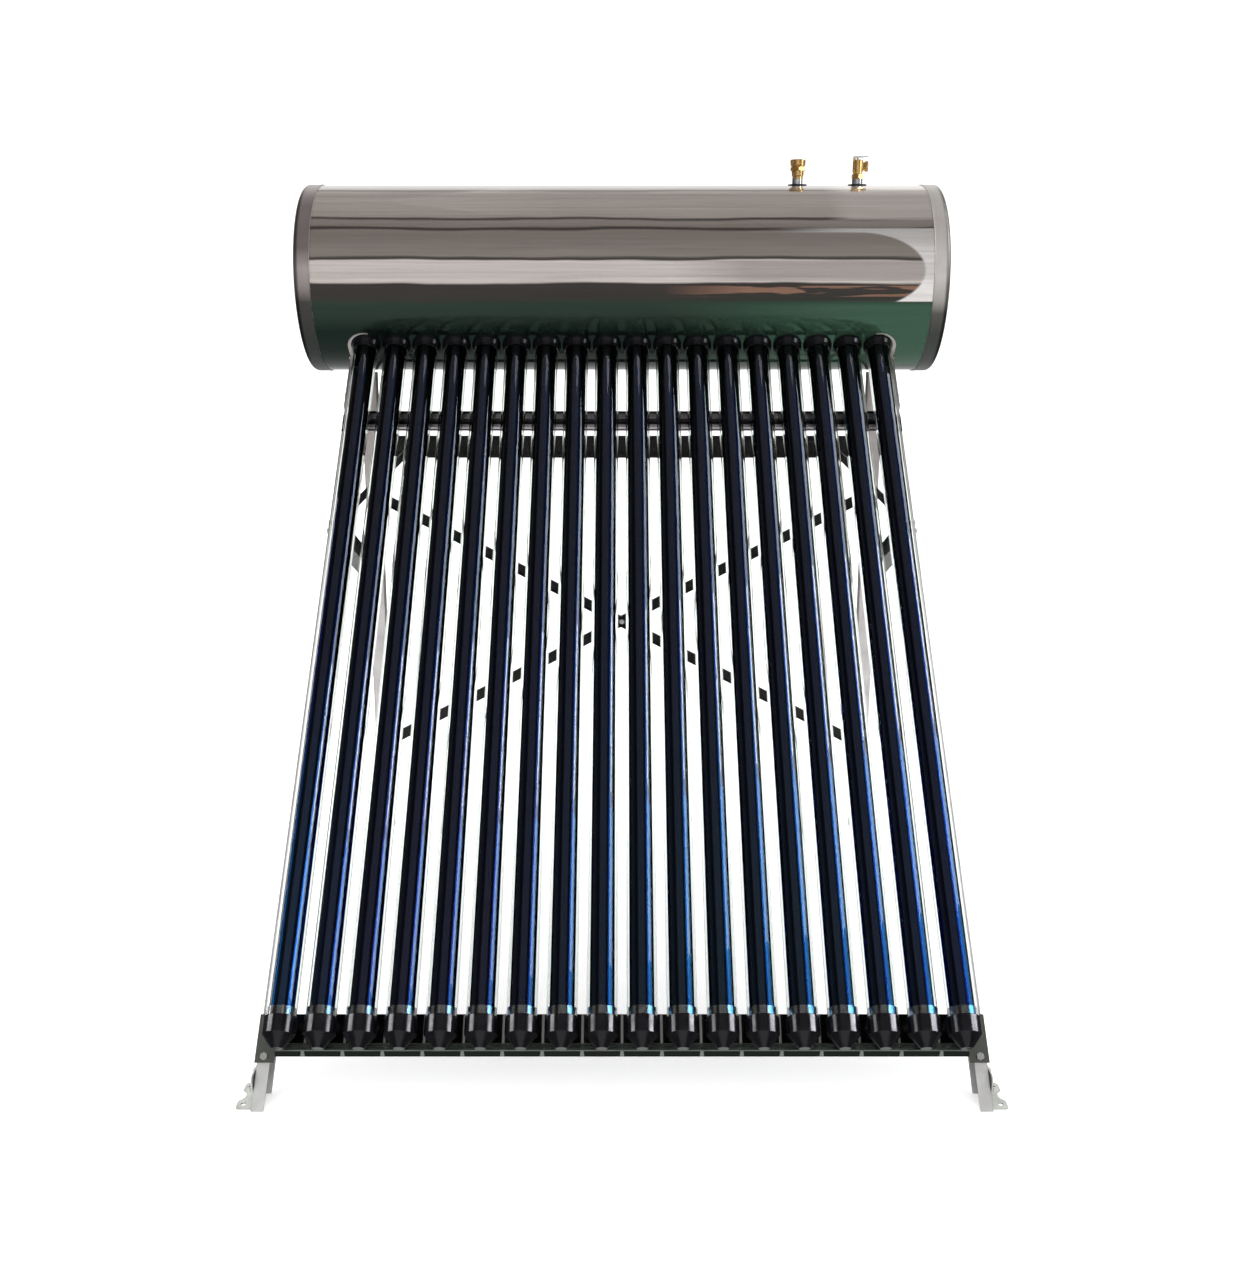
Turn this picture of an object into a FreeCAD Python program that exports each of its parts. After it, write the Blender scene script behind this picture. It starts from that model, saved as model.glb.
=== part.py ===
"""Evacuated-tube solar water heater: an insulated stainless tank above eighteen glass tubes.

Units are millimetres.  X runs along the tank, Y runs from the tube feet to the back of the stand,
Z is up and the ground is Z = 0.  The origin is the bottom centre of the whole heater.

Three working frames are used before everything is moved to that origin:
  stand frame: Y = 0 at the lip of the tail cups, Z = 0 on the ground;
  slope frame: X across, Y square to the tubes (down and back), Z up along the tubes from the cup lip;
  valve frame: X, Y, Z of the stand, centred on a fitting's own axis.
"""
import FreeCAD
import Part
import math
import os

V = FreeCAD.Vector
X_AXIS = V(1, 0, 0)
Y_AXIS = V(0, 1, 0)
Z_AXIS = V(0, 0, 1)

# Collector
TUBE_COUNT = 18
TUBE_PITCH = 75.0
TILT = 45.0
CUP_LIP_HEIGHT = 153.6
GLASS_RADIUS = 29.0
GLASS_WALL = 1.8
GLASS_BOTTOM = -50.0
GLASS_MOUTH = 1745.0
GLASS_TIP = 3.0
ABSORBER_RADIUS = 23.5
ABSORBER_WALL = 1.6
ABSORBER_BOTTOM = -38.0
ABSORBER_FLARE = 10.0
GETTER_BOTTOM = -6.0
GETTER_LENGTH = 22.0
GETTER_WALL = 0.8
PIPE_RADIUS = 4.0
PIPE_WALL = 0.8
CONDENSER_RADIUS = 7.0
CONDENSER_LENGTH = 82.0
CONDENSER_NECK = 6.0
CONDENSER_NOSE = (3.0, 4.0)
FIN_RADIUS = 21.4
FIN_WALL = 0.6
FIN_BOTTOM = 20.0
FIN_TOP = GLASS_MOUTH - 25.0
FIN_SLOT = 6.0

# Tank
TANK_DISTANCE = 1922.0
SHELL_RADIUS = 230.0
SHELL_WALL = 1.0
SHELL_LENGTH = 1560.0
COVER_WALL = 2.0
COVER_SKIRT = 41.0
COVER_LENGTH = 1596.0
COVER_ROUND = 12.0
INNER_RADIUS = 172.0
INNER_WALL = 1.5
INNER_STRAIGHT = 1370.0
INNER_DOME = 55.0
SLEEVE_RADIUS = 9.5
SLEEVE_BORE = 7.3
SLEEVE_DEPTH = 88.0
SLEEVE_CAP = 2.0
TUBE_HOLE = 33.0
TUBE_HOLE_START = GLASS_MOUTH - 120.0
PORT_RADIUS = 13.2
PORT_BORE = 10.0
PORT_HOLE = 14.0
PORT_RISE = 16.0
PORT_X = (446.0, 598.0)
INLET_X = 520.0
INLET_REACH = 262.0
INLET_NECK = 12.6
INLET_SHOULDER = 234.5
NECK_ROOT = 3.0
BORE_ROOT = 12.0
ANODE_RADIUS = 11.0
ANODE_LENGTH = 420.0
ANODE_GAP = 0.3
FOAM_GAP = 1.0

# Black mouldings
RING_RADIUS = 36.5
RING_FOOT = 31.5
RING_REACH = 24.0
RING_ROOT = 8.0
RING_NECK = 32.8
RING_NECK_REACH = 6.0
RING_LIP = 4.0
RING_BEAD = (1.0, 9.0)
RING_SHOULDER = (1.0, 5.0)
CUP_RADIUS = 31.0
CUP_BORE = 29.15
CUP_COLLAR = 33.0
CUP_DEPTH = 58.0
CUP_TIP = 10.5
CUP_WALL = 1.9
CUP_BEVEL = 1.0
CUP_STEP = 4.0
CUP_INNER_STEP = 3.0
CUP_LUG_WIDTH = 16.0
CUP_LUG_SPAN = (-28.0, -8.0)
CUP_SCREW_ALONG = -18.0
GASKET_RADIUS = 24.0
GASKET_SPAN = (-6.0, 3.0)

# Frame
SHEET = 1.5
BEND = 2.5
RAIL_OUTER = 687.0
RAIL_FLANGE = 25.0
RAIL_DEPTH = 45.0
RAIL_FACE = 59.5
RAIL_TOP = 1664.0
WEB_FACE = RAIL_FACE - SHEET
TAIL_TOP = 24.0
TAIL_BEND = -33.0
TAIL_SHELF = 22.0
TAIL_LIP = 14.0
TAIL_HALF = 691.0
TAIL_SHELF_HALF = 652.0
TAIL_TAB = -68.0
TAIL_BOLTS = (-57.0, 6.0)
MID_LOW = 1465.0
MID_HIGH = 1516.0
MID_FACE = 44.0
MID_BOLTS = (1478.0, 1504.0)
MID_GROOVE = (1484.0, 1491.0)
MID_GROOVE_DEPTH = 5.0
MID_CHANNEL_HALF = 652.0
LEG_FRONT = 1370.0
LEG_DEPTH = 40.0
LEG_FLANGE = 39.0
LEG_TOP = 1275.0
LEG_BOLT_X = 668.0
BAR_LOW = 1047.0
BAR_HIGH = 1106.0
BAR_FLANGE = 16.0
BAR_BEAD = (13.0, 15.0, 1.5)
BRACE_WIDTH = 28.0
BRACE_FLANGE = 10.0
BRACE_LOW = 243.0
BRACE_HIGH = 950.0
BRACE_REACH = 10.0
SIDE_BRACE_REACH = 16.0
SIDE_BRACE_TRIM = 6.0
SIDE_BRACE_WIDTH = 44.0
SIDE_BRACE_FLANGE = 35.0
SIDE_BRACE_TOP = (82.0, 1180.0)
SIDE_BRACE_FOOT = 721.0
CORNER_BAR = 22.0
CORNER_THICK = 3.0
CORNER_RAIL = 1250.0
CORNER_RAIL_X = 672.0
CORNER_BAR_X = 552.0
CORNER_RAIL_TAB = 14.0
CORNER_BAR_TAB = 16.0
RAIL_BOLT_X = 674.0

# Saddles
SADDLE_SHEET = 2.0
SADDLE_INNER = 655.0
SADDLE_START = 31.0
SADDLE_SWEEP = 85.5
SADDLE_BOTTOM = 1548.0
SADDLE_NOSE_END = 45.0
SADDLE_SLOT = (1664.0, 1674.0)
SADDLE_SIDE_BOLTS = (1564.0, 1598.0)
SADDLE_SIDE_BACK = 82.0
SADDLE_FRONT_BOLT = 1592.0
SADDLE_LEG_BOLTS = (1222.0, 1252.0)
SADDLE_LEG_BOTTOM = 1200.0
NOSE_CENTRE = (3.5, 3.0)
NOSE_RADIUS = 43.0
NOSE_INNER = 629.0
NOSE_OUTER = 684.0
RING_CLEARANCE = 38.0
GUSSET_RISE = 56.0
GUSSET_TANK = (60.0, 120.0)
GUSSET_NOTCH = (55.0, 36.0, 54.0)
GUSSET_RAIL = 24.0

# Feet
FOOT_SHEET = 2.5
FOOT_LENGTH = 90.0
FOOT_WIDTH = 30.0
FOOT_EAR = 55.0
FOOT_HOLE = 5.0
FOOT_HOLE_OFFSET = 30.0
FOOT_HOLE_OUT = 17.5
FOOT_WAIST = 22.0
FOOT_WAIST_OUT = 12.0
FOOT_EAR_HALF = 26.0
FOOT_ROUND = 8.0
FOOT_EAR_ROUND = 12.0
FRONT_FOOT_Y = -17.0
FRONT_FOOT_BOLTS = ((-24.0, 22.0), (0.0, 42.0))
REAR_FOOT_Y = LEG_FRONT + LEG_DEPTH / 2
REAR_FOOT_BOLTS = ((REAR_FOOT_Y, 20.0), (REAR_FOOT_Y, 44.0))

# Fasteners
BOLT_RADIUS = 4.0
BOLT_HOLE = 4.2
BOLT_HEAD = 7.5
BOLT_HEAD_HEIGHT = 5.3
NUT_HEIGHT = 6.5
BOLT_TAIL = 3.0
SCREW_RADIUS = 2.0
SCREW_HEAD = 4.0
SCREW_HEAD_HEIGHT = 2.2
SCREW_LENGTH = 10.0

# Top fittings
NUT_BEVEL = 2.0
NUT_TURN = 0.5
SLIDE_GAP = 0.08
TURN_GAP = 0.05
FITTING_INLET = (3.0, 6.0)
CHECK_HEIGHT = 47.0
CHECK_BARREL = [(15.0, 9.0), (16.0, 30.0), (19.0, 34.0)]
CHECK_RIM = 19.5
CHECK_BEVEL = (1.0, 2.0)
CHECK_FOOT = 6.0
CHECK_NUT = (21.0, 9.0, 20.0)
CHECK_SEAT = 9.0
CHECK_CHAMBER = 8.8
CHECK_DISC = 7.8
SEAT_GAP = 0.3
SPIDER = 3.0
SPIDER_DROP = 0.6
STEM_DROP = 0.2
DISC_THICK = 2.0
CHECK_STEM = 2.0
CHECK_COIL = (5.5, 0.5)
THREAD_BORE = 9.3
THREAD_DEPTH = 12.0
COIL_TURNS = 5
RELIEF_BODY = 13.0
RELIEF_HEIGHT = 47.0
RELIEF_NUT = (16.5, 12.0, 0.0)
RELIEF_SHOULDER = (1.5, 2.0, 6.0)
RELIEF_BEVEL = (2.0, 3.0)
RELIEF_CHAMBER = 8.0
RELIEF_CROWN = 3.0
RELIEF_INLET = (2.0, 5.0)
RELIEF_COIL = (5.6, 0.7)
OUTLET_HEIGHT = 31.0
OUTLET_REACH = 25.0
OUTLET_FLARE = 13.5
OUTLET_PIPE = [(0.0, 0.0), (8.5, 0.0), (9.0, 12.0), (OUTLET_FLARE, 21.0)]
OUTLET_BORE = 6.0
POST = (3.0, 2.5, 3.0, 3.0)
STEM_RADIUS = 2.0
STEM_HEAD = 3.6
STEM_HEAD_THICK = 2.0
STEM_SEAT = 16.0
STEM_NECK = 3.0
STEM_DISC = 6.5
LUG_INNER = 2.6
LUG_GAP = 0.4
LUG_THICK = 1.4
LUG_X = (-1.4, 0.6)
LEVER_PIN_X = -9.0
LEVER_PIN_Z = 52.0
LEVER_PIN_RADIUS = 1.5
LEVER_PIN_HALF = 7.6
LEVER_HOLE_HALF = 9.0
LEVER_END = 27.0
LEVER_THICK = 2.4
LEVER_ARM = 5.0
ARM_END = 13.0
ARM_SPAN = (-3.0, 3.8)
ARM_LEVEL = 1.0
EYE_RADIUS = 3.5
TRIM_START = (3.0, 0.6)
TRIM_REACH = 4.0
THUMB_START = 11.0
THUMB_LEVEL = 1.4
THUMB_ROUND = 4.0

# Derived places
SIN = math.sin(math.radians(TILT))
COS = math.cos(math.radians(TILT))
TANK_Y = TANK_DISTANCE * COS
TANK_Z = CUP_LIP_HEIGHT + TANK_DISTANCE * SIN
COVER_RADIUS = SHELL_RADIUS + COVER_WALL
BRACE_MIDDLE = (BRACE_LOW + BRACE_HIGH) / 2
FITTING_FOOT = TANK_Z + SHELL_RADIUS + PORT_RISE
RAIL_TOE = RAIL_FACE / SIN - CUP_LIP_HEIGHT * COS / SIN
ORIGIN_Y = (RAIL_TOE + TANK_Y + COVER_RADIUS) / 2
TUBE_X = [(i - (TUBE_COUNT - 1) / 2) * TUBE_PITCH for i in range(TUBE_COUNT)]
SLOPE = FreeCAD.Placement(V(0, 0, CUP_LIP_HEIGHT), FreeCAD.Rotation(X_AXIS, TILT - 90))
HUGE = 4000.0
OVER = 1.0
CLOSE = 0.01


# Basic shapes

def slope_point(across, back, along):
    """A point of the slope frame, in the stand frame."""
    return SLOPE.multVec(V(across, back, along))


def on_slope(shape):
    shape = shape.copy()
    shape.Placement = SLOPE.multiply(shape.Placement)
    return shape


def moved(shape, x=0, y=0, z=0):
    shape = shape.copy()
    shape.translate(V(x, y, z))
    return shape


def mirrored(shape):
    return shape.mirror(V(0, 0, 0), X_AXIS)


def fuse(shapes):
    return shapes[0].multiFuse(shapes[1:]).removeSplitter()


def box(x0, x1, y0, y1, z0, z1):
    low = V(min(x0, x1), min(y0, y1), min(z0, z1))
    return Part.makeBox(abs(x1 - x0), abs(y1 - y0), abs(z1 - z0), low)


def rod(radius, start, end):
    return Part.makeCylinder(radius, (end - start).Length, start, end - start)


def turned(points):
    """Solid of revolution about Z from (radius, z) corners."""
    wire = Part.makePolygon([V(r, 0, z) for r, z in points + points[:1]])
    return Part.Face(wire).revolve(V(0, 0, 0), Z_AXIS, 360)


def plate(points, start, push):
    """Flat plate from corner vectors, first moved by start and then pushed through its thickness."""
    wire = Part.makePolygon([p + start for p in points + points[:1]])
    return Part.Face(wire).extrude(push)


def long_edges(shape, direction, length):
    found = []
    for edge in shape.Edges:
        if edge.Length < 0.9 * length or not isinstance(edge.Curve, Part.Line):
            continue
        if abs(abs(edge.tangentAt(edge.FirstParameter).dot(direction)) - 1) < 1e-6:
            found.append(edge)
    return found


def edges_at_x(shape, x):
    return [edge for edge in shape.Edges if abs(edge.CenterOfMass.x - x) < CLOSE]


def channel(length, depth, flange, side):
    """C section along Z: outer web at X = 0, flanges toward side * X, one at Y = 0, one at Y = depth."""
    outer = box(0, side * flange, 0, depth, 0, length)
    inner = box(side * SHEET, side * (flange + OVER), SHEET, depth - SHEET, -OVER, length + OVER)
    section = outer.cut(inner)
    corners = []
    for edge in long_edges(section, Z_AXIS, length):
        middle = edge.CenterOfMass
        if abs(middle.x) < CLOSE:
            corners.append(edge)
    return section.makeFillet(BEND, corners)


def folded_profile(points, half_width, thickness):
    """Bent sheet across X: the (y, z) centre line is thickened towards its right-hand side."""
    far = []
    count = len(points)
    for i, (y, z) in enumerate(points):
        before = points[i - 1] if i > 0 else None
        after = points[i + 1] if i < count - 1 else None
        normals = []
        for a, b in ((before, (y, z)), ((y, z), after)):
            if a is None or b is None:
                continue
            size = math.hypot(b[0] - a[0], b[1] - a[1])
            normals.append(((b[1] - a[1]) / size, -(b[0] - a[0]) / size))
        ny = sum(n[0] for n in normals) / len(normals)
        nz = sum(n[1] for n in normals) / len(normals)
        stretch = thickness / (ny * ny + nz * nz)
        far.append((y + ny * stretch, z + nz * stretch))
    outline = [V(-half_width, y, z) for y, z in list(points) + far[::-1]]
    return plate(outline, V(0, 0, 0), V(2 * half_width, 0, 0))


def hexagon(radius, height, place=V(0, 0, 0)):
    corners = []
    for k in range(6):
        angle = math.radians(60 * k + 30)
        corners.append(V(radius * math.cos(angle), radius * math.sin(angle), 0))
    return plate(corners, place, V(0, 0, height))


def aim(shape, place, direction):
    """Turns a shape built up Z to point along direction, then moves it to place."""
    shape = shape.copy()
    shape.Placement = FreeCAD.Placement(place, FreeCAD.Rotation(Z_AXIS, direction))
    return shape


# Fasteners: each entry is (point under the head, direction of the shank, grip)

def saddle_bolts(side, inward, back):
    """Two bolts into the rail's web, one through its front flange and two into the leg."""
    outside = side * (RAIL_OUTER + SADDLE_SHEET)
    grip = SADDLE_SHEET + SHEET
    places = [(slope_point(outside, SADDLE_SIDE_BACK, z), inward, grip) for z in SADDLE_SIDE_BOLTS]
    places.append((slope_point(side * RAIL_BOLT_X, WEB_FACE, SADDLE_FRONT_BOLT), back, 2 * SHEET))
    return places + [(V(outside, REAR_FOOT_Y, z), inward, grip) for z in SADDLE_LEG_BOLTS]


def rail_bolts(side, inward, back):
    """Bolts that hold the cross rails, the side brace and the corner tie to the inclined rail."""
    places = [(slope_point(side * RAIL_BOLT_X, WEB_FACE, z), back, 2 * SHEET)
              for z in MID_BOLTS + TAIL_BOLTS]
    brace_back, brace_along = SIDE_BRACE_TOP
    places.append((slope_point(side * (RAIL_OUTER + SHEET), brace_back, brace_along), inward, 2 * SHEET))
    tie = slope_point(side * CORNER_RAIL_X, RAIL_FACE + RAIL_DEPTH - SHEET, CORNER_RAIL)
    places.append((tie, back, CORNER_THICK + SHEET))
    return places


def leg_bolts(side, inward):
    """Bolts that hold the braces, the crossbar and the corner tie at the back of the stand."""
    leg_back = LEG_FRONT + LEG_DEPTH
    bar_middle = (BAR_LOW + BAR_HIGH) / 2
    places = [(V(side * (RAIL_OUTER + SHEET), REAR_FOOT_Y, SIDE_BRACE_FOOT), inward, 2 * SHEET)]
    for end, z in ((-1, BRACE_LOW), (1, BRACE_HIGH)):
        in_front = side * end < 0
        y = leg_back - SHEET - (SHEET if in_front else 0)
        places.append((V(side * LEG_BOLT_X, y, z), Y_AXIS, 2 * SHEET))
    places.append((V(side * LEG_BOLT_X, leg_back - SHEET, bar_middle), Y_AXIS, 2 * SHEET))
    places.append((V(side * CORNER_BAR_X, leg_back - CORNER_THICK, bar_middle), Y_AXIS, CORNER_THICK + SHEET))
    return places


def bolt_places():
    places = []
    back = slope_point(0, 1, 0) - slope_point(0, 0, 0)
    for side in (-1, 1):
        inward = V(-side, 0, 0)
        places += saddle_bolts(side, inward, back)
        places += rail_bolts(side, inward, back)
        places += leg_bolts(side, inward)
        ear = side * (RAIL_OUTER + FOOT_SHEET)
        for y, z in FRONT_FOOT_BOLTS + REAR_FOOT_BOLTS:
            places.append((V(ear, y, z), inward, FOOT_SHEET + SHEET))
    places.append((V(0, LEG_FRONT + LEG_DEPTH - 2 * SHEET, BRACE_MIDDLE), Y_AXIS, 3 * SHEET))
    return places


def bolt(place, direction, grip):
    head = hexagon(BOLT_HEAD, BOLT_HEAD_HEIGHT, V(0, 0, -BOLT_HEAD_HEIGHT))
    shank = rod(BOLT_RADIUS, V(0, 0, -OVER), V(0, 0, grip + NUT_HEIGHT + BOLT_TAIL))
    nut = hexagon(BOLT_HEAD, NUT_HEIGHT, V(0, 0, grip)).cut(shank)
    return [aim(fuse([head, shank]), place, direction), aim(nut, place, direction)]


def bolt_cutters():
    cutters = []
    for place, direction, grip in bolt_places():
        cutters.append(rod(BOLT_HOLE, place - direction * OVER, place + direction * (grip + OVER)))
    return cutters


def drilled(shape, cutters):
    near = [c for c in cutters if c.BoundBox.intersect(shape.BoundBox)]
    return shape.cut(near) if near else shape


def frame_bolts():
    pieces = []
    for place, direction, grip in bolt_places():
        pieces += bolt(place, direction, grip)
    start = V(0, LEG_FRONT + LEG_DEPTH - SHEET, BRACE_MIDDLE)
    washer = rod(BOLT_HEAD, start, start + Y_AXIS * SHEET).cut(rod(BOLT_HOLE, start, start + Y_AXIS * SHEET))
    return Part.makeCompound(pieces + [washer])


# Collector tubes, in the slope frame

def closed_tube(radius, wall, bottom, top):
    """Round-bottomed tube standing on Z."""
    centre = bottom + radius
    outside = fuse([rod(radius, V(0, 0, centre), V(0, 0, top)), Part.makeSphere(radius, V(0, 0, centre))])
    bore = radius - wall
    inside = fuse([rod(bore, V(0, 0, centre), V(0, 0, top + OVER)), Part.makeSphere(bore, V(0, 0, centre))])
    return outside.cut(inside)


def glass_tube():
    """Outer glass with the small sealing tip at its foot."""
    tip = rod(GLASS_TIP, V(0, 0, GLASS_BOTTOM - GLASS_TIP), V(0, 0, GLASS_BOTTOM + OVER))
    return fuse([closed_tube(GLASS_RADIUS, GLASS_WALL, GLASS_BOTTOM, GLASS_MOUTH), tip])


def absorber_tube():
    body = closed_tube(ABSORBER_RADIUS, ABSORBER_WALL, ABSORBER_BOTTOM, GLASS_MOUTH - ABSORBER_FLARE)
    low = GLASS_MOUTH - ABSORBER_FLARE
    inner = ABSORBER_RADIUS - ABSORBER_WALL
    rim = GLASS_RADIUS - GLASS_WALL
    flare = turned([(inner, low), (ABSORBER_RADIUS, low), (rim, GLASS_MOUTH - ABSORBER_WALL),
                    (rim, GLASS_MOUTH), (rim - ABSORBER_WALL, GLASS_MOUTH)])
    return fuse([body, flare])


def getter_band():
    outer = GLASS_RADIUS - GLASS_WALL
    top = GETTER_BOTTOM + GETTER_LENGTH
    return turned([(outer - GETTER_WALL, GETTER_BOTTOM), (outer, GETTER_BOTTOM), (outer, top),
                   (outer - GETTER_WALL, top)])


def heat_pipe():
    """Sealed copper pipe with its thicker condenser above the tube's mouth."""
    neck = GLASS_MOUTH + CONDENSER_NECK / 2
    bulb = neck + CONDENSER_NECK
    top = bulb + CONDENSER_LENGTH
    nose_in, nose_down = CONDENSER_NOSE
    outside = [(0, 0), (PIPE_RADIUS, PIPE_RADIUS), (PIPE_RADIUS, neck), (CONDENSER_RADIUS, bulb),
               (CONDENSER_RADIUS, top - nose_down), (CONDENSER_RADIUS - nose_in, top), (0, top)]
    wall = PIPE_WALL
    half = wall / 2
    inside = [(0, top - wall), (CONDENSER_RADIUS - nose_in - half, top - wall),
              (CONDENSER_RADIUS - wall, top - nose_down - half), (CONDENSER_RADIUS - wall, bulb + half),
              (PIPE_RADIUS - wall, neck + half), (PIPE_RADIUS - wall, PIPE_RADIUS + half), (0, 1.5 * wall)]
    return turned(outside + inside)


def heat_fin():
    """Rolled aluminium fin: a split sleeve against the glass, a web and a clasp on the pipe."""
    low, high = FIN_BOTTOM, FIN_TOP
    ring = rod(FIN_RADIUS, V(0, 0, low), V(0, 0, high))
    ring = ring.cut(rod(FIN_RADIUS - FIN_WALL, V(0, 0, low - OVER), V(0, 0, high + OVER)))
    ring = ring.cut(box(-FIN_SLOT, FIN_SLOT, -FIN_RADIUS - OVER, 0, low - OVER, high + OVER))
    clasp = rod(PIPE_RADIUS + FIN_WALL, V(0, 0, low), V(0, 0, high))
    web = box(-FIN_WALL / 2, FIN_WALL / 2, PIPE_RADIUS, FIN_RADIUS - FIN_WALL / 2, low, high)
    return fuse([ring, clasp, web]).cut(rod(PIPE_RADIUS, V(0, 0, low - OVER), V(0, 0, high + OVER)))


def row(shape):
    """One copy on each tube axis, as separate solids on the slope."""
    return Part.makeCompound([on_slope(moved(shape, x)) for x in TUBE_X])


# Tank, in the slope frame

def tank_rod(radius, half):
    return rod(radius, V(-half, 0, TANK_DISTANCE), V(half, 0, TANK_DISTANCE))


def tube_cutters(radius, start, end):
    return [rod(radius, V(x, 0, start), V(x, 0, end)) for x in TUBE_X]


def upright_rod(radius, x, start, end):
    """Cylinder on the world's vertical through the tank axis, from start to end above that axis."""
    up = V(0, -COS, SIN)
    centre = V(x, 0, TANK_DISTANCE)
    return rod(radius, centre + up * start, centre + up * end)


def inlet_rod(radius, start, end):
    """Cylinder of the cold inlet, which leaves the tank square to the tubes, low at the back."""
    centre = V(INLET_X, 0, TANK_DISTANCE)
    return rod(radius, centre + Y_AXIS * start, centre + Y_AXIS * end)


def port_cutters(radius):
    start, end = INNER_RADIUS / 2, SHELL_RADIUS + PORT_RISE + OVER
    cutters = [upright_rod(radius, x, start, end) for x in PORT_X]
    return cutters + [inlet_rod(radius, start, end)]


def tank_shell():
    half = SHELL_LENGTH / 2
    shell = tank_rod(SHELL_RADIUS, half).cut(tank_rod(SHELL_RADIUS - SHELL_WALL, half + OVER))
    return shell.cut(tube_cutters(TUBE_HOLE, TUBE_HOLE_START, TANK_DISTANCE) + port_cutters(PORT_HOLE))


def end_cover():
    """Right-hand cover: a spun cap whose skirt slips over the shell."""
    end = COVER_LENGTH / 2
    start = end - COVER_SKIRT
    centre = TANK_DISTANCE
    cap = rod(COVER_RADIUS, V(start, 0, centre), V(end, 0, centre))
    cap = cap.makeFillet(COVER_ROUND, edges_at_x(cap, end))
    bottom = end - COVER_WALL
    hollow = rod(SHELL_RADIUS, V(start - OVER, 0, centre), V(bottom, 0, centre))
    return cap.cut(hollow.makeFillet(COVER_ROUND - COVER_WALL, edges_at_x(hollow, bottom)))


def inner_tank():
    """Pressure vessel with its blind sleeves, two top necks and the cold inlet."""
    half = INNER_STRAIGHT / 2
    outside = vessel(INNER_RADIUS, half, INNER_DOME)
    inside = vessel(INNER_RADIUS - INNER_WALL, half, INNER_DOME - INNER_WALL)
    neck_start = INNER_RADIUS - NECK_ROOT
    neck_end = SHELL_RADIUS + PORT_RISE
    ports = [upright_rod(PORT_RADIUS, x, neck_start, neck_end) for x in PORT_X]
    ports.append(inlet_rod(INLET_NECK, neck_start, INLET_SHOULDER))
    ports.append(inlet_rod(PORT_RADIUS, INLET_SHOULDER, INLET_REACH))
    sleeve_start = TANK_DISTANCE - INNER_RADIUS - OVER
    bore_end = sleeve_start + SLEEVE_DEPTH + SLEEVE_CAP
    body = outside.cut(inside).fuse(ports)
    body = body.fuse(tube_cutters(SLEEVE_RADIUS, sleeve_start, bore_end + SLEEVE_CAP))
    bore_start = INNER_RADIUS - BORE_ROOT
    bores = [upright_rod(PORT_BORE, x, bore_start, neck_end + OVER) for x in PORT_X]
    bores.append(inlet_rod(PORT_BORE, bore_start, INLET_REACH + OVER))
    return body.cut(bores + tube_cutters(SLEEVE_BORE, sleeve_start - OVER, bore_end))


def vessel(radius, half, dome):
    """Cylinder with two shallow dished ends, along X about the tank axis."""
    bulge = (radius * radius + dome * dome) / (2 * dome)
    centre = half + dome - bulge
    pieces = tank_rod(radius, half)
    for side in (-1, 1):
        ball = Part.makeSphere(bulge, V(side * centre, 0, TANK_DISTANCE))
        cap = box(side * (half - OVER), side * (half + dome + OVER), -radius, radius,
                  TANK_DISTANCE - radius, TANK_DISTANCE + radius)
        pieces = pieces.fuse(ball.common(cap).common(tank_rod(radius, half + dome + OVER)))
    return pieces.removeSplitter()


def insulation_foam():
    """Foam that fills the space between the shell and the pressure vessel."""
    foam = tank_rod(SHELL_RADIUS - SHELL_WALL, SHELL_LENGTH / 2)
    foam = foam.cut(vessel(INNER_RADIUS, INNER_STRAIGHT / 2, INNER_DOME))
    holes = tube_cutters(TUBE_HOLE, TUBE_HOLE_START, TANK_DISTANCE) + port_cutters(PORT_RADIUS + FOAM_GAP)
    return foam.cut(holes)


def anode_rod():
    """Magnesium rod along the tank's axis, fixed to the left dome."""
    centre = V(-INNER_STRAIGHT / 2 - INNER_DOME + INNER_WALL + ANODE_GAP, 0, TANK_DISTANCE)
    return rod(ANODE_RADIUS, centre, centre + V(ANODE_LENGTH, 0, 0))


# Rubber and plastic mouldings, in the slope frame

def dust_ring():
    """Rubber ring that flares against the shell, with a neck and an inner lip through its hole."""
    surface = TANK_DISTANCE - SHELL_RADIUS
    foot = surface - RING_REACH
    root = surface + RING_ROOT
    bead = (RING_FOOT + RING_BEAD[0], foot + RING_BEAD[1])
    shoulder = (RING_RADIUS - RING_SHOULDER[0], surface - RING_SHOULDER[1])
    skirt = turned([(GLASS_RADIUS, foot), (RING_FOOT, foot), bead, shoulder, (RING_RADIUS, root),
                    (GLASS_RADIUS, root)])
    skirt = skirt.cut(tank_rod(SHELL_RADIUS, TUBE_PITCH))
    neck = rod(RING_NECK, V(0, 0, surface - RING_NECK_REACH), V(0, 0, root))
    neck = neck.cut(tank_rod(SHELL_RADIUS - RING_LIP, TUBE_PITCH))
    neck = neck.cut(rod(GLASS_RADIUS, V(0, 0, foot - OVER), V(0, 0, root + OVER)))
    return fuse([skirt, neck])


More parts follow.
